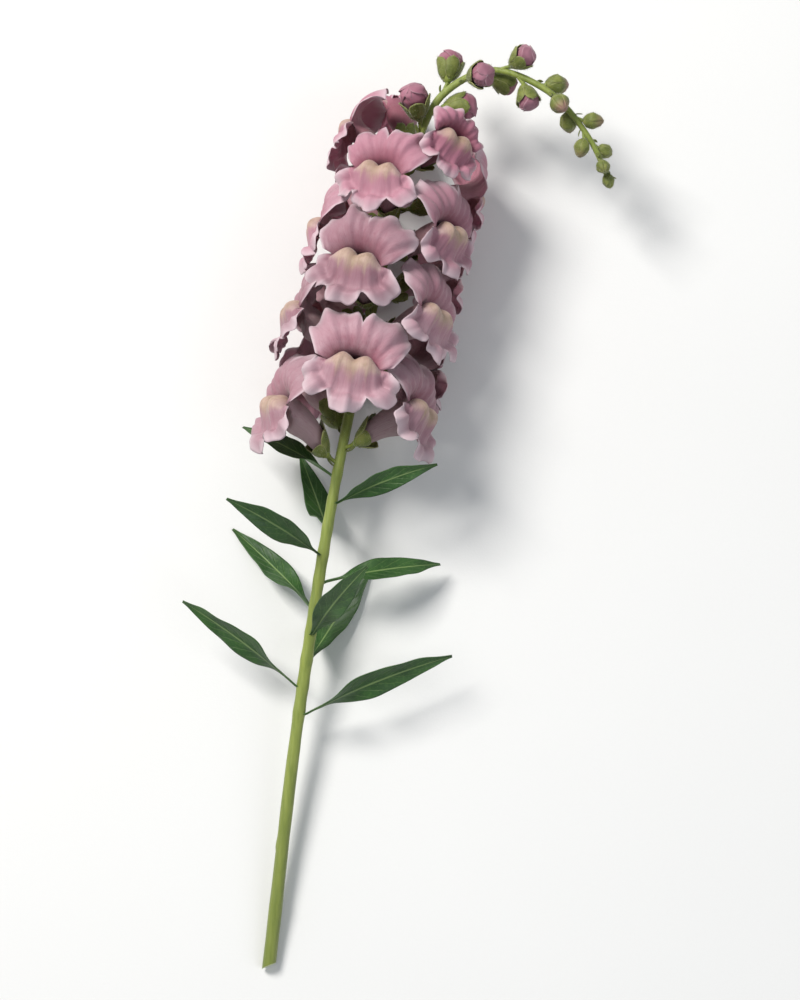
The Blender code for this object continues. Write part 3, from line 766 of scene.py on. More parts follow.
def petal_material():
    s = Shader("petal_velvet")
    run, palate, inside, edge, tone, young = (s.value(key) for key in PETAL_VALUES)
    around, along = s.uv_place()[1:]
    circle = s.mul(around, 2 * math.pi)
    ring = s.node("CombineXYZ", {0: s.math("SINE", circle), 1: s.math("COSINE", circle), 2: s.mul(along, 1.6)})
    wander = s.mul(s.sub(s.noise(4.5, 3.0, ring.outputs[0]), 0.5), 3.6)
    veins = vein_lines(s, around, 46.0, 0.16, wander)
    fine = vein_lines(s, around, 104.0, 0.20, s.mul(wander, 1.7))
    web = s.math("MAXIMUM", veins, s.mul(fine, 0.55))
    cloud = s.noise(120.0)
    blotch = s.noise(420.0, 4.0, None, 0.65)
    face = s.tint(DEEP, ROSE, run, 0.02, 0.62)
    face = s.tint(face, LILAC, run, 0.30, 0.95)
    face = s.tint(face, PALE, cloud, 0.35, 0.75, 0.45)
    back = s.tint(BACK_LOW, BACK_HIGH, run, 0.0, 0.9)
    colour = s.mix(inside, back, face)
    # Painted shade: the inner face of the tube and the foot of the lips are darkened to near-black wine, as shadow
    # inside the mouth
    throat = s.mul(s.step(run, 0.10, 0.0), inside)
    colour = s.mix(s.mul(throat, 0.85), colour, THROAT_SHADE)
    web_strength = s.mul(web, s.mul_add(s.step(run, 0.95, 0.2), 0.30, 0.10))
    colour = s.mix(web_strength, colour, VEIN)
    colour = s.tint(colour, PALE, blotch, 0.40, 0.75, 0.10)
    bright = s.tint(YOUNG_DEEP, YOUNG_BRIGHT, run, 0.0, 0.9)
    colour = s.mix(s.mul(young, 0.85), colour, bright)
    shade = s.mul_add(tone, 0.5, 0.75)
    grey = s.node("CombineColor", {0: shade, 1: shade, 2: shade}).outputs[0]
    colour = s.mix(1.0, colour, grey, "MULTIPLY")
    across = s.math("ABSOLUTE", s.math("SINE", circle))
    cream = s.tint(CREAM, OLIVE_MOTTLE_AND_SHADE, s.noise(300.0), 0.40, 0.80)
    # Painted shade: the crease between the palate's two humps is tinted dark olive
    cream = s.tint(cream, OLIVE_MOTTLE_AND_SHADE, across, 0.30, 0.02, 0.7)
    cream = s.tint(cream, PALE, across, 0.55, 0.95, 0.6)
    cream = s.mix(s.mul(web, 0.28), cream, ROSE)
    ragged = s.add(palate, s.mul(s.sub(s.noise(200.0, 4.0, None, 0.6), 0.5), 0.5))
    cover = s.mul(s.step(ragged, 0.12, 0.85), s.step(palate, 0.0, 0.15))
    colour = s.mix(s.mul(cover, s.mul_add(inside, 0.66, 0.08)), colour, cream)
    # Pale margins: partly the petals' own paler rims, partly a painted highlight along the petal and bud-lobe edges
    colour = s.tint(colour, PALE_RIM_AND_HIGHLIGHT, edge, 0.55, 1.0, 0.75)
    grain = s.noise(2600.0, 2.0)
    height = s.add(s.mul(web, -0.35), s.mul(grain, 0.35))
    normal = s.bump(height, 0.00020, 0.5)
    normal = s.bump(s.noise(260.0, 3.0, None, 0.5), 0.0005, 0.35, normal)
    rough = s.mul_add(grain, 0.18, 0.48)
    glow = s.mix(0.5, colour, ROSE)
    return s.finish(colour, rough, normal, sheen=0.25, translucent=0.24, glow=glow, specular=0.35)


def green_material(name, base, light, rim_colour, scale=1.0, rough=0.5, translucent=0.12, flush=None, drawn_out=1.0):
    s = Shader(name)
    edge, tone, tip = (s.value(key) for key in GREEN_VALUES)
    stretch = s.node("Mapping", {"Vector": s.object_place(), "Scale": (1.0, drawn_out, 1.0)}).outputs[0]
    colour = s.tint(base, light, s.noise(220.0 * scale, 4.0, stretch), 0.3, 0.7)
    colour = s.tint(colour, light, s.noise(900.0 * scale, 3.0, stretch, 0.6), 0.45, 0.75, 0.35)
    colour = s.mix(s.mul(tone, 0.4), colour, tuple(0.55 * c for c in base))
    colour = s.tint(colour, rim_colour, edge, 0.55, 1.0, 0.7)
    if flush is not None:
        colour = s.mix(s.mul(tip, 0.8), colour, flush)
    height = s.noise(1500.0 * scale, 3.0, None, 0.65)
    normal = s.bump(height, 0.00025, 0.6)
    return s.finish(colour, rough, normal, sheen=0.2, translucent=translucent, specular=0.45)


def leaf_material():
    s = Shader("leaf_blade")
    uv, sideways, along = s.uv_place()
    across = s.math("ABSOLUTE", s.mul_add(sideways, 2.0, -1.0))
    under = s.value("inside")
    wander = s.mul(s.noise(9.0, 3.0, uv), 0.5)
    climb = s.sub(s.mul(along, 9.0), s.mul(s.math("POWER", across, 0.8), 2.1))
    branch = s.math("ABSOLUTE", s.sub(s.math("FRACT", s.add(climb, wander)), 0.5))
    side = s.mul(s.step(branch, 0.10, 0.0), s.step(across, 1.0, 0.7))
    mid = s.step(across, 0.10, 0.02)
    cells = s.noise(900.0, 3.0, None, 0.6)
    colour = s.tint(LEAF_DARK, LEAF_MID, s.noise(90.0), 0.3, 0.7)
    colour = s.tint(colour, LEAF_LIGHT, cells, 0.45, 0.8, 0.35)
    colour = s.mix(s.mul(side, 0.38), colour, LEAF_LIGHT)
    colour = s.mix(s.mul(mid, 0.8), colour, LEAF_RIB)
    colour = s.mix(s.mul(under, 0.45), colour, LEAF_LIGHT)
    height = s.sub(s.mul(cells, 0.4), s.math("MAXIMUM", side, mid))
    normal = s.bump(height, 0.00035, 0.6)
    rough = s.mul_add(cells, 0.2, 0.34)
    return s.finish(colour, rough, normal, sheen=0.05, translucent=0.14, glow=LEAF_LIGHT + (1.0,), specular=0.5)


DEEP = (0.32, 0.105, 0.150)
ROSE = (0.445, 0.213, 0.262)
LILAC = (0.515, 0.318, 0.372)
PALE = (0.585, 0.415, 0.462)
# Pale margin colour: partly the petals' own paler rims, partly a painted highlight on their edges
PALE_RIM_AND_HIGHLIGHT = (0.755, 0.625, 0.665)
# Painted shade colour for the inside of the tube
THROAT_SHADE = (0.10, 0.010, 0.026)
VEIN = (0.31, 0.095, 0.145)
BACK_LOW = (0.52, 0.36, 0.37)
BACK_HIGH = (0.44, 0.215, 0.275)
YOUNG_DEEP = (0.26, 0.050, 0.090)
YOUNG_BRIGHT = (0.55, 0.215, 0.305)
CREAM = (0.655, 0.505, 0.365)
# Olive: random mottle on the palate, and also painted shade in the crease between its humps
OLIVE_MOTTLE_AND_SHADE = (0.44, 0.345, 0.195)
LEAF_DARK = (0.022, 0.070, 0.016)
LEAF_MID = (0.040, 0.115, 0.024)
LEAF_LIGHT = (0.13, 0.25, 0.06)
LEAF_RIB = (0.24, 0.36, 0.12)

PETAL = petal_material()
STEM_SKIN = green_material(
    "stem_skin", (0.17, 0.220, 0.036), (0.255, 0.305, 0.058), (0.33, 0.4, 0.12), 2.0, 0.45, 0.0, drawn_out=0.08,
)
SEPAL_SKIN = green_material(
    "sepal_skin", (0.125, 0.158, 0.027), (0.235, 0.265, 0.060), (0.42, 0.42, 0.18), 1.3, 0.55, 0.15, (0.40, 0.16, 0.20),
)
HAIR_SKIN = green_material("hair_skin", (0.50, 0.55, 0.36), (0.64, 0.68, 0.50), (0.7, 0.75, 0.6), 1.0, 0.5, 0.3)
CUT_SKIN = green_material("cut_face", (0.30, 0.38, 0.14), (0.52, 0.56, 0.30), (0.68, 0.70, 0.46), 1.5, 0.4, 0.0)
LEAF_SKIN = leaf_material()


# Florets

COLUMNS = 132
TUBE_STEPS = 12
LIP_STEPS = 38
PALATE_ROUNDS = 14
CREASE_DEPTH = 0.9
PETAL_SHEET = 0.42
RIM_THINNER = 0.18
TABLE_SHEET = 0.34
RUFFLES = ((1.25, 8, 2.0), (0.90, 13, -2.5), (0.38, 23, 0.0), (0.12, 41, 0.0))


def ruffle_wave(turn, run, phase):
    """Waves round the mouth: how high, how many and how far each turns along the lip."""
    waves = zip(RUFFLES, phase)
    return sum(high * np.sin(many * turn + shift + twist * run) for (high, many, twist), shift in waves)


def pleats(turn, run, phase):
    """Broad and narrow folds that fan out over the upper lobes."""
    broad = 0.55 * np.sin(5 * turn + phase[0] + 1.5 * run)
    return broad + 0.34 * np.sin(19 * turn + phase[1] + 0.8 * np.sin(6 * run))


def round_palate(point, run, low):
    """Average the palate's points with their neighbours until its humps are round."""
    share = (0.5 * smooth(run, 0.08, 0.22) * smooth(run, 0.74, 0.60) * low)[..., None]
    for _ in range(PALATE_ROUNDS):
        nearby = (np.roll(point, 1, axis=0) + np.roll(point, -1, axis=0)) / 4
        nearby[:, 1:-1] += (point[:, :-2] + point[:, 2:]) / 4
        point[:, 1:-1] += (nearby - point)[:, 1:-1] * share[:, 1:-1]


def fine_floret(place, name, node):
    """Corolla of a floret: tube, ruffled and pleated lobes, and a creased palate."""
    theta = -np.pi / 2 + np.arange(COLUMNS) * 2 * np.pi / COLUMNS
    turn = theta[:, None]
    opened = place["opened"]
    draw = np.random.default_rng(FLORET_SEED + place["seed"])
    phase = draw.uniform(0, 2 * np.pi, 8)
    wavy = 1 + 0.024 * np.sin(11 * theta + phase[0]) + 0.008 * np.sin(27 * theta + phase[1])
    share = (reach(theta) * wavy)[:, None]
    tube = np.tile(np.linspace(0, 3, TUBE_STEPS, endpoint=False), (COLUMNS, 1))
    m = np.concatenate([tube, 3 + LIP_KEYS * share * np.linspace(0, 1, LIP_STEPS)], 1)
    m = np.minimum(m, 3 + LIP_KEYS - 1e-6)
    point = curve_at(columns(theta, opened), m)
    run = np.clip((m - 3) / LIP_KEYS, 0, 1)
    tip_lobes(point, theta, run, place["seed"])
    round_palate(point, run, smooth(-rise(theta), 2, 20)[:, None])
    edge = np.clip(run / np.maximum(share, 0.05), 0, 1)
    ruffle = edge**3.2 * smooth(run, 0.25, 0.7) * ruffle_wave(turn, run, phase[2:6])
    raised = smooth(rise(theta), 4, 26)[:, None] * smooth(run, 0.22, 0.62)
    normal = grid_normals(point, True)
    point = point + normal * (ruffle + raised * pleats(turn, run, phase[6:]))[..., None]
    low = smooth(-rise(theta), 6, 30)[:, None]
    swell = bell(run - 0.33, 0.13) * low
    crease = bell(np.cos(turn), 0.09) * low
    point = point + normal * (crease * swell * CREASE_DEPTH)[..., None]
    world = rest_on_table(to_world(point, place), place, TABLE_SHEET)
    vert, face, corner, side = thick_grid(world, PETAL_SHEET - RIM_THINNER * edge, True)
    keep_above(vert)
    across = np.abs(np.cos(turn))
    palate = smooth(run, 0.16, 0.27) * smooth(run, 0.68 - 0.10 * across, 0.46)
    palate = palate * smooth(-rise(theta), 6, 26)[:, None] * (0.45 + 0.55 * opened)
    # The edge value marks the lip margins, which get a pale rim that is partly a painted highlight
    bundle = Bundle(*PETAL_VALUES)
    bundle.add(
        vert, face, run=twice(run), palate=twice(palate), inside=side,
        edge=twice(edge**3 * smooth(run, 0.3, 0.6)), tone=draw.uniform(0.2, 0.8), young=place["young"],
    )
    uv = np.array(corner, float) / np.array((COLUMNS, world.shape[1] - 1))
    bundle.make(name, PETAL, "petal" if opened > 0.9 else "young_petal", [node], uv)


for k, place in enumerate(FLORETS):
    opened = k < OPEN_COUNT
    place["young"] = float(smooth(k, 4, 17)) * 0.75 if opened else 0.95
    node = "floret_%02d" % (k + 1) if opened else "opening_floret_%02d" % (k + 1 - OPEN_COUNT)
    fine_floret(place, "fine_" + node, node)


# Coloured buds

# Middle and half width of each lobe in degrees, and how far it lies over the ones below
BUD_LOBES = ((-90, 46, 0.05), (-22, 46, 0.24), (204, 46, 0.34), (56, 54, 0.52), (124, 54, 0.72))
# The smooth body lies a little inside its lobes
BUD_INSET = (0.94, 0.94, 0.985)
BUD_COLUMNS = 40
BUD_ROWS = 26
LOBE_ROWS = 20
LOBE_SHEET = 0.26


def bud_radius(w, size):
    return np.interp(w / size, *BUD_PROFILE) * BUD_WIDTH / 2 * size


def bud_centre(w, size):
    return BUD_BEND * BUD_WIDTH * size * np.sin(np.pi * np.clip(w / size, 0, 1))


def bud_lobe(place, k, n, x, t):
    """One lobe folded over the mouth of a bud, free of the body near its tip."""
    size = place["length"]
    middle, half, lift = BUD_LOBES[n]
    upper = middle > 0 and middle < 180
    start = 0.34 if upper else 0.40
    w = size * (start + (1.02 - start) * t) + 0 * x
    swirl = 0.55 * t**2.5 * (1 if middle > 90 else -1) + 0.06 * np.sin(9 * t + n + k)
    turn = middle * DEG + x * half * DEG * (0.82 + 0.25 * t + 0.9 * t**6) + swirl
    free = smooth(t, 0.42, 0.75)
    r = bud_radius(w, size) + lift * smooth(t, 0.02, 0.35)
    r = r + np.abs(x) ** 4 * (0.20 * smooth(t, 0.15, 0.5) + 0.30 * free)
    r = r + (0.10 + 0.15 * free) * np.sin(5 * x + 7 * t + k + n) - 0.40 * bell(x, 0.2) * free
    r = r * (1 - 0.85 * smooth(t, 0.84, 1.0))
    if upper:
        r = r + 0.9 * smooth(t, 0.45, 0.85) * smooth(t, 1.0, 0.85) * (1 - 0.5 * np.abs(x))
    return round_grid(place, turn, r, bud_centre(w, size), w)


def fine_bud(place, k):
    """Closed corolla of a bud: a smooth body and the five lobes folded over its mouth."""
    ring = closed_bud(BUD_COLUMNS, BUD_ROWS, place["length"]) * np.array(BUD_INSET)
    draw = np.random.default_rng(BUD_SEED + k)
    tone = draw.uniform(-0.10, 0.28)
    young = 0.95 - 0.04 * k
    face, corner = closed_sheet(BUD_COLUMNS, BUD_ROWS)
    uv = [np.array(corner, float) / np.array((BUD_COLUMNS, BUD_ROWS - 1))]
    along = np.broadcast_to(np.linspace(0, 1, BUD_ROWS), (BUD_COLUMNS, BUD_ROWS))
    bundle = Bundle(*PETAL_VALUES)
    bundle.add(to_world(ring, place), face, run=(0.15 + 0.55 * along).ravel(), tone=tone, young=young)
    x, t = across_and_along(15, LOBE_ROWS)
    for n in range(len(BUD_LOBES)):
        vert, face, corner, side = thick_grid(bud_lobe(place, k, n, x, t), LOBE_SHEET, False)
        # Pale lobe rims: partly the lobes' own paler margins, partly a painted highlight along the fold edges
        edge = 0.78 * np.maximum(np.abs(x) ** 5 * smooth(t, 0.1, 0.4), t**10 + 0 * x)
        bundle.add(
            vert, face, run=twice(0.20 + 0.60 * t + 0 * x), inside=1 - side, edge=twice(edge),
            tone=tone + 0.12 * (n % 3), young=young,
        )
        uv.append((np.array(corner, float) + (BUD_COLUMNS * n, 0)) / np.array((150, LOBE_ROWS - 1)))
    name = "bud_%02d" % (k + 1)
    bundle.make("fine_" + name, PETAL, "young_petal", [name], np.concatenate(uv))


for k in range(COLOURED_BUDS):
    fine_bud(BUDS[k], k)


# The green stem and all that grows on it

HAIRS, STALKS, CALYCES, SCALES = (Bundle(*GREEN_VALUES) for _ in range(4))
HAIR_DRAW = np.random.default_rng(91)
HAIR_SPREAD = 0.25
HAIR_THICK = 0.055
AXIS_SIDES = 30
AXIS_HAIRS = 3600
STALK_SIDES = 12
STALK_HAIRS = 60
GREEN_BACK = 3.2
TIP_SCALES = 5
TABLE_GAP = 0.2
CUP_SHEET = 0.3
SEPAL_SHEET = 0.34
SCALE_SHEET = 0.3
GREEN_PROFILE = ((-0.12, 0.10, 0.48, 0.84, 1.0), (0.13, 0.37, 0.47, 0.28, 0.07))
# Distance up the stem and angle of the scars of fallen leaves
SCARS = ((30.0, 1.1), (56.0, 3.2), (83.0, 5.2), (101.0, 0.6))
# Width, height and paleness of the rings on the cut face, from its rim to its middle
CUT_RINGS = ((1.0, 0.0, 0.2), (0.86, -0.05, 1.0), (0.62, 0.10, 0.6), (0.3, 0.22, 0.9), (0.0, 0.25, 1.0))


def add_hair(foot, way, length, thick=HAIR_THICK):
    side = unit(np.cross(way, (0.31, 0.17, 0.93)))
    other = np.cross(way, side)
    base = [foot + thick * (math.cos(a) * side + math.sin(a) * other) for a in (0.0, 2.1, 4.2)]
    HAIRS.add(base + [foot + way * length], [(0, 1, 3), (1, 2, 3), (2, 0, 3), (2, 1, 0)])


def hairs_on(point, normal, count, length):
    """Hairs on a grid of points that stand along its normals."""
    flat = point.reshape(-1, 3)
    out = normal.reshape(-1, 3)
    for _ in range(count):
        i = int(HAIR_DRAW.integers(len(flat)))
        way = unit(out[i] + HAIR_DRAW.normal(0, HAIR_SPREAD, 3))
        add_hair(flat[i] + HAIR_DRAW.normal(0, 0.12, 3), way, length * HAIR_DRAW.uniform(0.6, 1.3))


def axis_rings(stations, turn):
    """Rings of points along the stem, with its leaf joints, ridges, scars and slanted end."""
    phase = np.random.default_rng(17).uniform(0, 6, 6)
    ring = np.zeros((len(stations), len(turn), 3))
    for n, s in enumerate(stations):
        along, right, up = stem_axes(s)
        swell = 1 + 0.02 * math.sin(s / 9 + phase[0]) + 0.012 * math.sin(s / 3.7 + phase[1])
        for place in LEAVES:
            swell += 0.10 * bell(s - place["s"], 3.0)
        ridge = 1 + 0.018 * np.sin(5 * turn + phase[2] + s / 70) + 0.008 * np.sin(11 * turn + phase[3])
        scar = 0 * turn
        for at, angle in SCARS:
            away = (turn - angle + np.pi) % (2 * np.pi) - np.pi
            scar = scar + 0.55 * bell(s - at, 1.6) * bell(away, 0.45)
        r = np.minimum((stem_radius(s) - 0.06) * swell * ridge + scar, stem_radius(s) + 0.6)
        centre = stem_point(s)
        if s < 1:
            slant = (np.cos(turn) + 0.4 * np.sin(turn)) * stem_radius(0) * CUT_SLANT
            centre = centre + slant[:, None] * along
        ring[n] = centre + r[:, None] * (np.cos(turn)[:, None] * right + np.sin(turn)[:, None] * up)
    keep_above(ring)
    return ring


def make_axis():
    """The stem's skin and cut face, and the hairs on its spike."""
    stations = np.concatenate([np.arange(0, 240, 2.5), np.arange(240, LENGTH, 1.8), [LENGTH]])
    ring = axis_rings(stations, np.arange(AXIS_SIDES) * 2 * np.pi / AXIS_SIDES)
    face = [(a, d, c, b) for a, b, c, d in ring_faces(len(stations), AXIS_SIDES)]
    face.append(tuple((len(stations) - 1) * AXIS_SIDES + i for i in range(AXIS_SIDES)))
    # The stem's green is darker towards its cut end
    darker_towards_cut = smooth(stations, 150, 0)[:, None] * np.ones(AXIS_SIDES)
    skin = Bundle(*GREEN_VALUES)
    skin.add(ring, face, tone=0.9 * darker_towards_cut.ravel())
    skin.make("stem_axis", STEM_SKIN, "stem_green", ["stem"])
    middle = ring[0].mean(axis=0)
    along = stem_axes(0)[0]
    last = len(CUT_RINGS) - 1
    rings = [middle + (ring[0] - middle) * wide + along * high for wide, high, pale in CUT_RINGS[:last]]
    pale = np.repeat([row[2] for row in CUT_RINGS], [AXIS_SIDES] * last + [1])
    face = ring_faces(last, AXIS_SIDES)
    inner = (last - 1) * AXIS_SIDES
    for i in range(AXIS_SIDES):
        face.append((inner + i, last * AXIS_SIDES, inner + (i + 1) % AXIS_SIDES))
    cut = Bundle(*GREEN_VALUES)
    cut.add(np.concatenate(rings + [middle[None] + along * CUT_RINGS[last][1]]), face, edge=pale)
    cut.make("stem_cut_face", CUT_SKIN, "stem_green", ["stem"])
    for _ in range(AXIS_HAIRS):
        s = HAIR_DRAW.uniform(FIRST_FLORET - 18, LENGTH - 2)
        along, right, up = stem_axes(s)
        a = HAIR_DRAW.uniform(0, 2 * np.pi)
        out = math.cos(a) * right + math.sin(a) * up
        way = unit(out + HAIR_DRAW.normal(0, 0.2, 3))
        add_hair(stem_point(s) + out * stem_radius(s) * 0.97, way, HAIR_DRAW.uniform(0.35, 0.8), 0.035)


def stalk(place, back, foot, way, radius, base_radius):
    """Curved stalk from the stem to the foot of a calyx, which is given in the flower's own axes."""
    v, w, outward = axes_at(place)[1:]
    s = place["s"] - back
    root = stem_point(s) + outward * stem_radius(s) * 0.5
    end = to_world(np.array((0, *foot), float), place)
    way = unit(way[0] * v + way[1] * w)
    span = np.linalg.norm(end - root)
    knee = (root + outward * span * 0.45 + end - way * span * 0.35) / 2
    t = np.linspace(0, 1, 11)[:, None]
    path = (1 - t) ** 2 * root + 2 * t * (1 - t) * knee + t**2 * end
    t = t[:, 0]
    r = radius * (1 + 0.45 * bell(t, 0.18)) + (base_radius - radius) * smooth(t, 0.72, 1.0)
    vert, face = tube_mesh(path, r, STALK_SIDES)
    STALKS.add(vert, face, tone=0.1)
    for _ in range(STALK_HAIRS):
        i = int(HAIR_DRAW.integers(len(vert)))
        out = unit(vert[i] - path[i // STALK_SIDES] + 1e-6)
        way = unit(out + HAIR_DRAW.normal(0, HAIR_SPREAD, 3))
        add_hair(vert[i], way, HAIR_DRAW.uniform(0.3, 0.7), 0.03)


def cup(place, centre_of, radius_of, lo, hi):
    """Bowl under the sepals."""
    turn = (np.arange(24) * 2 * np.pi / 24)[:, None]
    w = lo + (hi - lo) * np.linspace(0, 1, 6)[None, :] + 0 * turn
    world = round_grid(place, turn, radius_of(w, np.sin(turn)), centre_of(w), w)
    vert, face = thick_grid(world, CUP_SHEET, True)[:2]
    STALKS.add(vert, face, tone=0.2)


def sepals(
    place, centre_of, radius_of, over, lo, hi, flare, seed,
    wide=0.70, tone=0.1, pink=0.0, hair=44, long_hair=0.8,
):
    """Five overlapping rounded sepals round a flower's base, from lo to hi along its axis."""
    draw = np.random.default_rng(SEPAL_SEED + seed)
    x, t = across_and_along(9, 13)
    half = 1.26 * wide * t**0.25 * (1 - t**2.6) ** 0.6 + 0.02
    edge = twice(np.maximum(np.abs(x) ** 5 + 0 * t, t**8 + 0 * x))
    blush = twice(pink * smooth(t, 0.55, 1.0) + 0 * x)
    for n in range(SEPALS):
        middle = np.pi / 2 + n * 2 * np.pi / SEPALS + draw.uniform(-0.08, 0.08)
        top = hi + draw.uniform(-0.06, 0.06) * (hi - lo)
        w = lo + (top - lo) * t + 0 * x
        turn = middle + x * half
        lift = 0.28 * (n % 2) + 0.12 * (n // 2)
        r = radius_of(w, np.sin(turn)) + over + lift * smooth(t, 0.1, 0.4)
        r = r + flare * t**3 * draw.uniform(0.7, 1.3)
        r = r - 0.25 * np.abs(x) ** 3 * smooth(t, 0.2, 0.6) + 0.10 * np.sin(7 * t + seed + 3 * x)
        world = round_grid(place, turn, r, centre_of(w), w)
        keep_above(world, TABLE_GAP)
        vert, face = thick_grid(world, SEPAL_SHEET, False)[:2]
        CALYCES.add(vert, face, edge=edge, tone=tone, tip=blush)
        normal = grid_normals(world, False)
        hairs_on(world + normal * SEPAL_SHEET / 2, normal, hair, long_hair)


def scale_leaf(place, back, length):
    """Small pointed leaf on the stem, just below a flower's stalk."""
    along, outward = stem_side(place["s"] - back, place["azimuth"])
    side = np.cross(along, outward)
    s = place["s"] - back - 2.0
    start = stem_point(s) + outward * (stem_radius(s) - 0.4)
    way = unit(outward * 0.85 + along * 0.55)
    x, t = (part[..., None] for part in across_and_along(5, 9))
    half = length * 0.22 * np.sin(np.pi * np.minimum(t * 0.92 + 0.08, 1.0)) ** 0.8 + 0.05
    sag = 0.08 * length * t * t - 0.25 * np.abs(x) * half
    grid = start + way * length * 0.9 * t + side * x * half - np.cross(side, way) * sag
    vert, face = thick_grid(grid, SCALE_SHEET, False)[:2]
    SCALES.add(vert, face, edge=twice(0.6 * x[..., 0] ** 4 * np.ones(9)), tone=0.1)
    hairs_on(grid, grid_normals(grid, False), 14, 0.5)


def floret_greens(place, k):
    """Stalk, calyx and scale leaf of a floret."""
    gap = PETAL_THICKNESS / 2 + 0.75
    throat = tube_radius(0.6, 0.0) + gap

    def centre_of(w):
        return -7.0 * (1 - w / 20) ** 2

    def radius_of(w, sine):
        foot = np.interp(w, (-2.4, -1.6, -0.4, 0.6), (0.9, 1.9, 2.9, throat))
        return np.where(w < 0.6, foot, tube_radius(np.maximum(w, 0), sine) + gap)

    back = FLORET_BACK * place["size"]
    stalk(place, back, (centre_of(-2.2), -2.2), (0.62, 0.78), 0.95, 1.25)
    cup(place, centre_of, radius_of, -2.4, 2.0)
    sepals(place, centre_of, radius_of, 0.35, -1.0, 6.9, 1.3, 40 + k, tone=0.2)
    scale_leaf(place, back, 6.4)


def bud_greens(place, k):
    """Stalk and calyx of a coloured bud, and the scale leaf of a lower one."""
    size = place["length"]
    throat = 0.36 * BUD_WIDTH / 2 * size + 0.85

    def centre_of(w):
        return bud_centre(w, size)

    def radius_of(w, sine):
        foot = np.interp(w / size, (-0.14, -0.07, 0.03), (0.75, 1.6, throat))
        return np.where(w < 0.03 * size, foot, bud_radius(w, size) + 0.72)

    stalk(place, BUD_BACK, (centre_of(-0.12 * size), -0.12 * size), (0.1, 1.0), 0.85, 1.1)
    cup(place, centre_of, radius_of, -0.14 * size, 0.12 * size)
    sepals(place, centre_of, radius_of, 0.28, -0.02 * size, (0.60 + 0.02 * k) * size, 0.7, 100 + k, hair=70)
    if k < BRACTED_BUDS:
        scale_leaf(place, BUD_BACK, 5.2 - 0.1 * k)


def green_bud(place, k):
    """Closed green bud: a round body under five closed sepals, with its stalk and scale leaf."""
    size = place["length"]
    step = k - COLOURED_BUDS

    def radius_of(w, sine):
        return 0.90 * size * np.interp(w / size, *GREEN_PROFILE)

    stalk(place, GREEN_BACK, (0.0, -0.10 * size), (0.1, 1.0), 0.6, 0.14 * size)
    turn = (np.arange(20) * 2 * np.pi / 20)[:, None]
    w = np.linspace(-0.12, 0.99, 14) * size + 0 * turn
    body = round_grid(place, turn, radius_of(w, 0), 0, w)
    blush = smooth(w / size, 0.55, 0.9).ravel() * max(0.0, 1.0 - 0.16 * step)
    CALYCES.add(body, closed_sheet(*w.shape)[0], edge=0.25, tip=blush)
    sepals(
        place, np.zeros_like, radius_of, 0.0, -0.06 * size, 0.97 * size, -0.03 * size, 160 + k,
        wide=0.72, tone=0.0, pink=max(0.0, 0.8 - 0.12 * step), hair=46, long_hair=0.65,
    )
    scale_leaf(place, GREEN_BACK, 4.4 - 0.1 * step)


make_axis()
for k, place in enumerate(FLORETS):
    floret_greens(place, k)
for k, place in enumerate(BUDS):
    if k < COLOURED_BUDS:
        bud_greens(place, k)
    else:
        green_bud(place, k)
for n in range(TIP_SCALES):
    tip = {"s": LENGTH - 0.5 - 1.1 * n, "azimuth": BUDS[-1]["azimuth"] + 100.0 + LEAF_TURN * n}
    scale_leaf(tip, 0.0, 3.4 + 0.15 * n)
for greens, name, skin in (
    (STALKS, "flower_stalks", STEM_SKIN),
    (CALYCES, "sepals", SEPAL_SKIN),
    (SCALES, "scale_leaves", SEPAL_SKIN),
    (HAIRS, "fine_hairs", HAIR_SKIN),
):
    greens.make(name, skin, "stem_green", ["stem"])


# Leaves

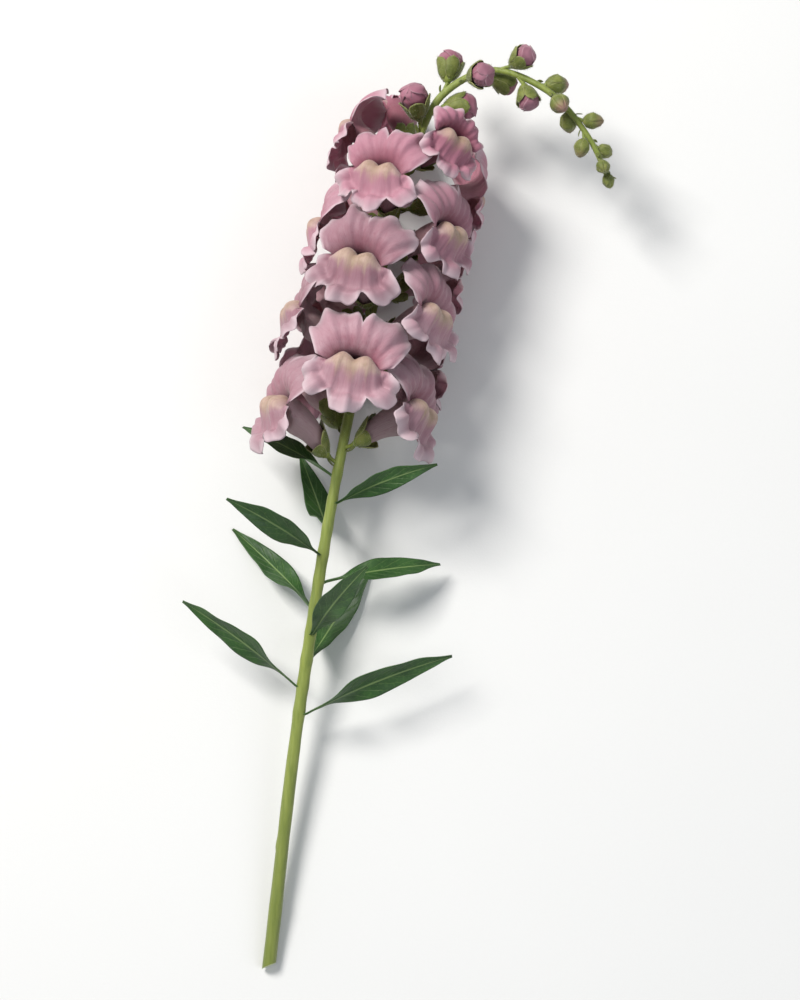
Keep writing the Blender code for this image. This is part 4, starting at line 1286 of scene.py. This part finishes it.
def fine_leaf(place, k):
    """Blade with a waved margin, a sunk midrib and a short stalk that joins the stem."""
    n_x, n_t, foot = 17, 61, 5
    grid = leaf_sheet(place, rows=n_t, across=n_x, soft=0.07)
    normal = grid_normals(grid, False)
    phase = np.random.default_rng(LEAF_SEED + k).uniform(0, 6, 3)
    x, t = across_and_along(n_x, n_t)
    wave = 0.55 * np.sin(13 * t + phase[0] + 2 * np.sign(x)) * np.abs(x) ** 1.5
    wave = wave + 0.22 * np.sin(29 * t + phase[1]) * np.abs(x) ** 2
    rib = -0.35 * bell(x, 0.09) * (1 - t)
    puff = 0.10 * np.sin(56 * t - 9 * np.abs(x)) * np.abs(x) ** 0.5 * (1 - np.abs(x))
    grid = grid + normal * (wave * smooth(t, 0, 0.2) * smooth(t, 1, 0.85) + rib + puff)[..., None]
    outward = stem_side(place["s"], place["azimuth"])[1]
    root = stem_point(place["s"] - 1.2) + outward * stem_radius(place["s"]) * 0.55
    start = grid[:, :1]
    middle = start.mean(axis=0, keepdims=True)
    share = np.linspace(0, 1, foot, endpoint=False)[None, :, None]
    stub = root + (middle - root) * share + (start - middle) * (1.25 - 0.25 * share)
    grid = np.concatenate([stub, grid], 1)
    keep_above(grid, TABLE_GAP)
    t = np.concatenate([np.zeros((1, foot)), t], 1)
    thin = 0.32 + 0.75 * bell(x, 0.14) * (1 - 0.85 * t)
    vert, face, corner, side = thick_grid(grid, thin, False)
    keep_above(vert)
    bundle = Bundle("inside")
    bundle.add(vert, face, inside=side if normal[..., 2].mean() > 0 else 1 - side)
    uv = np.array(corner, float) / np.array((n_x - 1, n_t + foot - 1))
    number = k + 1
    bundle.make("fine_leaf_%02d" % number, LEAF_SKIN, "leaf_green", ["leaf_%02d" % number], uv)


for k, place in enumerate(LEAVES):
    fine_leaf(place, k)


# Floor, light and camera

def floor():
    data = bpy.data.meshes.new("table_top")
    data.from_pydata([(-3, -3, 0), (3, -3, 0), (3, 3, 0), (-3, 3, 0)], [], [(0, 1, 2, 3)])
    top = new_object("table_top", data)
    s = Shader("table_paper")
    colour = s.mix(s.noise(3.0), (0.74, 0.74, 0.73), (0.80, 0.80, 0.79))
    normal = s.bump(s.noise(900.0), 0.0002, 0.25)
    data.materials.append(s.finish(colour, 0.7, normal))


def area_light(name, place, target, size, energy, colour):
    lamp = bpy.data.lights.new(name, "AREA")
    lamp.shape = "RECTANGLE"
    lamp.size, lamp.size_y = size
    lamp.energy = energy
    lamp.color = colour
    obj = new_object(name, lamp)
    obj.location = place
    obj.rotation_euler = (Vector(target) - Vector(place)).to_track_quat("-Z", "Y").to_euler()


floor()
area_light("window", (-1.15, 1.05, 1.75), (0.0, 0.05, 0.03), (0.8, 0.8), 62.0, (1.0, 0.975, 0.94))
area_light("fill", (1.3, -0.9, 1.4), (0.0, 0.0, 0.03), (1.4, 1.4), 9.0, (0.90, 0.94, 1.0))
world = bpy.data.worlds.new("room")
world.use_nodes = True
room_light = world.node_tree.nodes["Background"].inputs
room_light["Color"].default_value = (0.86, 0.90, 0.95, 1.0)
room_light["Strength"].default_value = 0.42
bpy.context.scene.world = world
bpy.context.scene.view_settings.view_transform = "Standard"

lens = bpy.data.cameras.new("camera")
lens.lens = 85.0
lens.sensor_width = 36.0
camera = new_object("camera", lens)
TARGET = Vector((0.0, 0.0, 0.03))
BACK = Vector((0.0, -0.16, 1.0)).normalized()
CAMERA_DISTANCE = 1.10
camera.location = TARGET + BACK * CAMERA_DISTANCE
camera.rotation_euler = BACK.to_track_quat("Z", "Y").to_euler()
bpy.context.scene.camera = camera
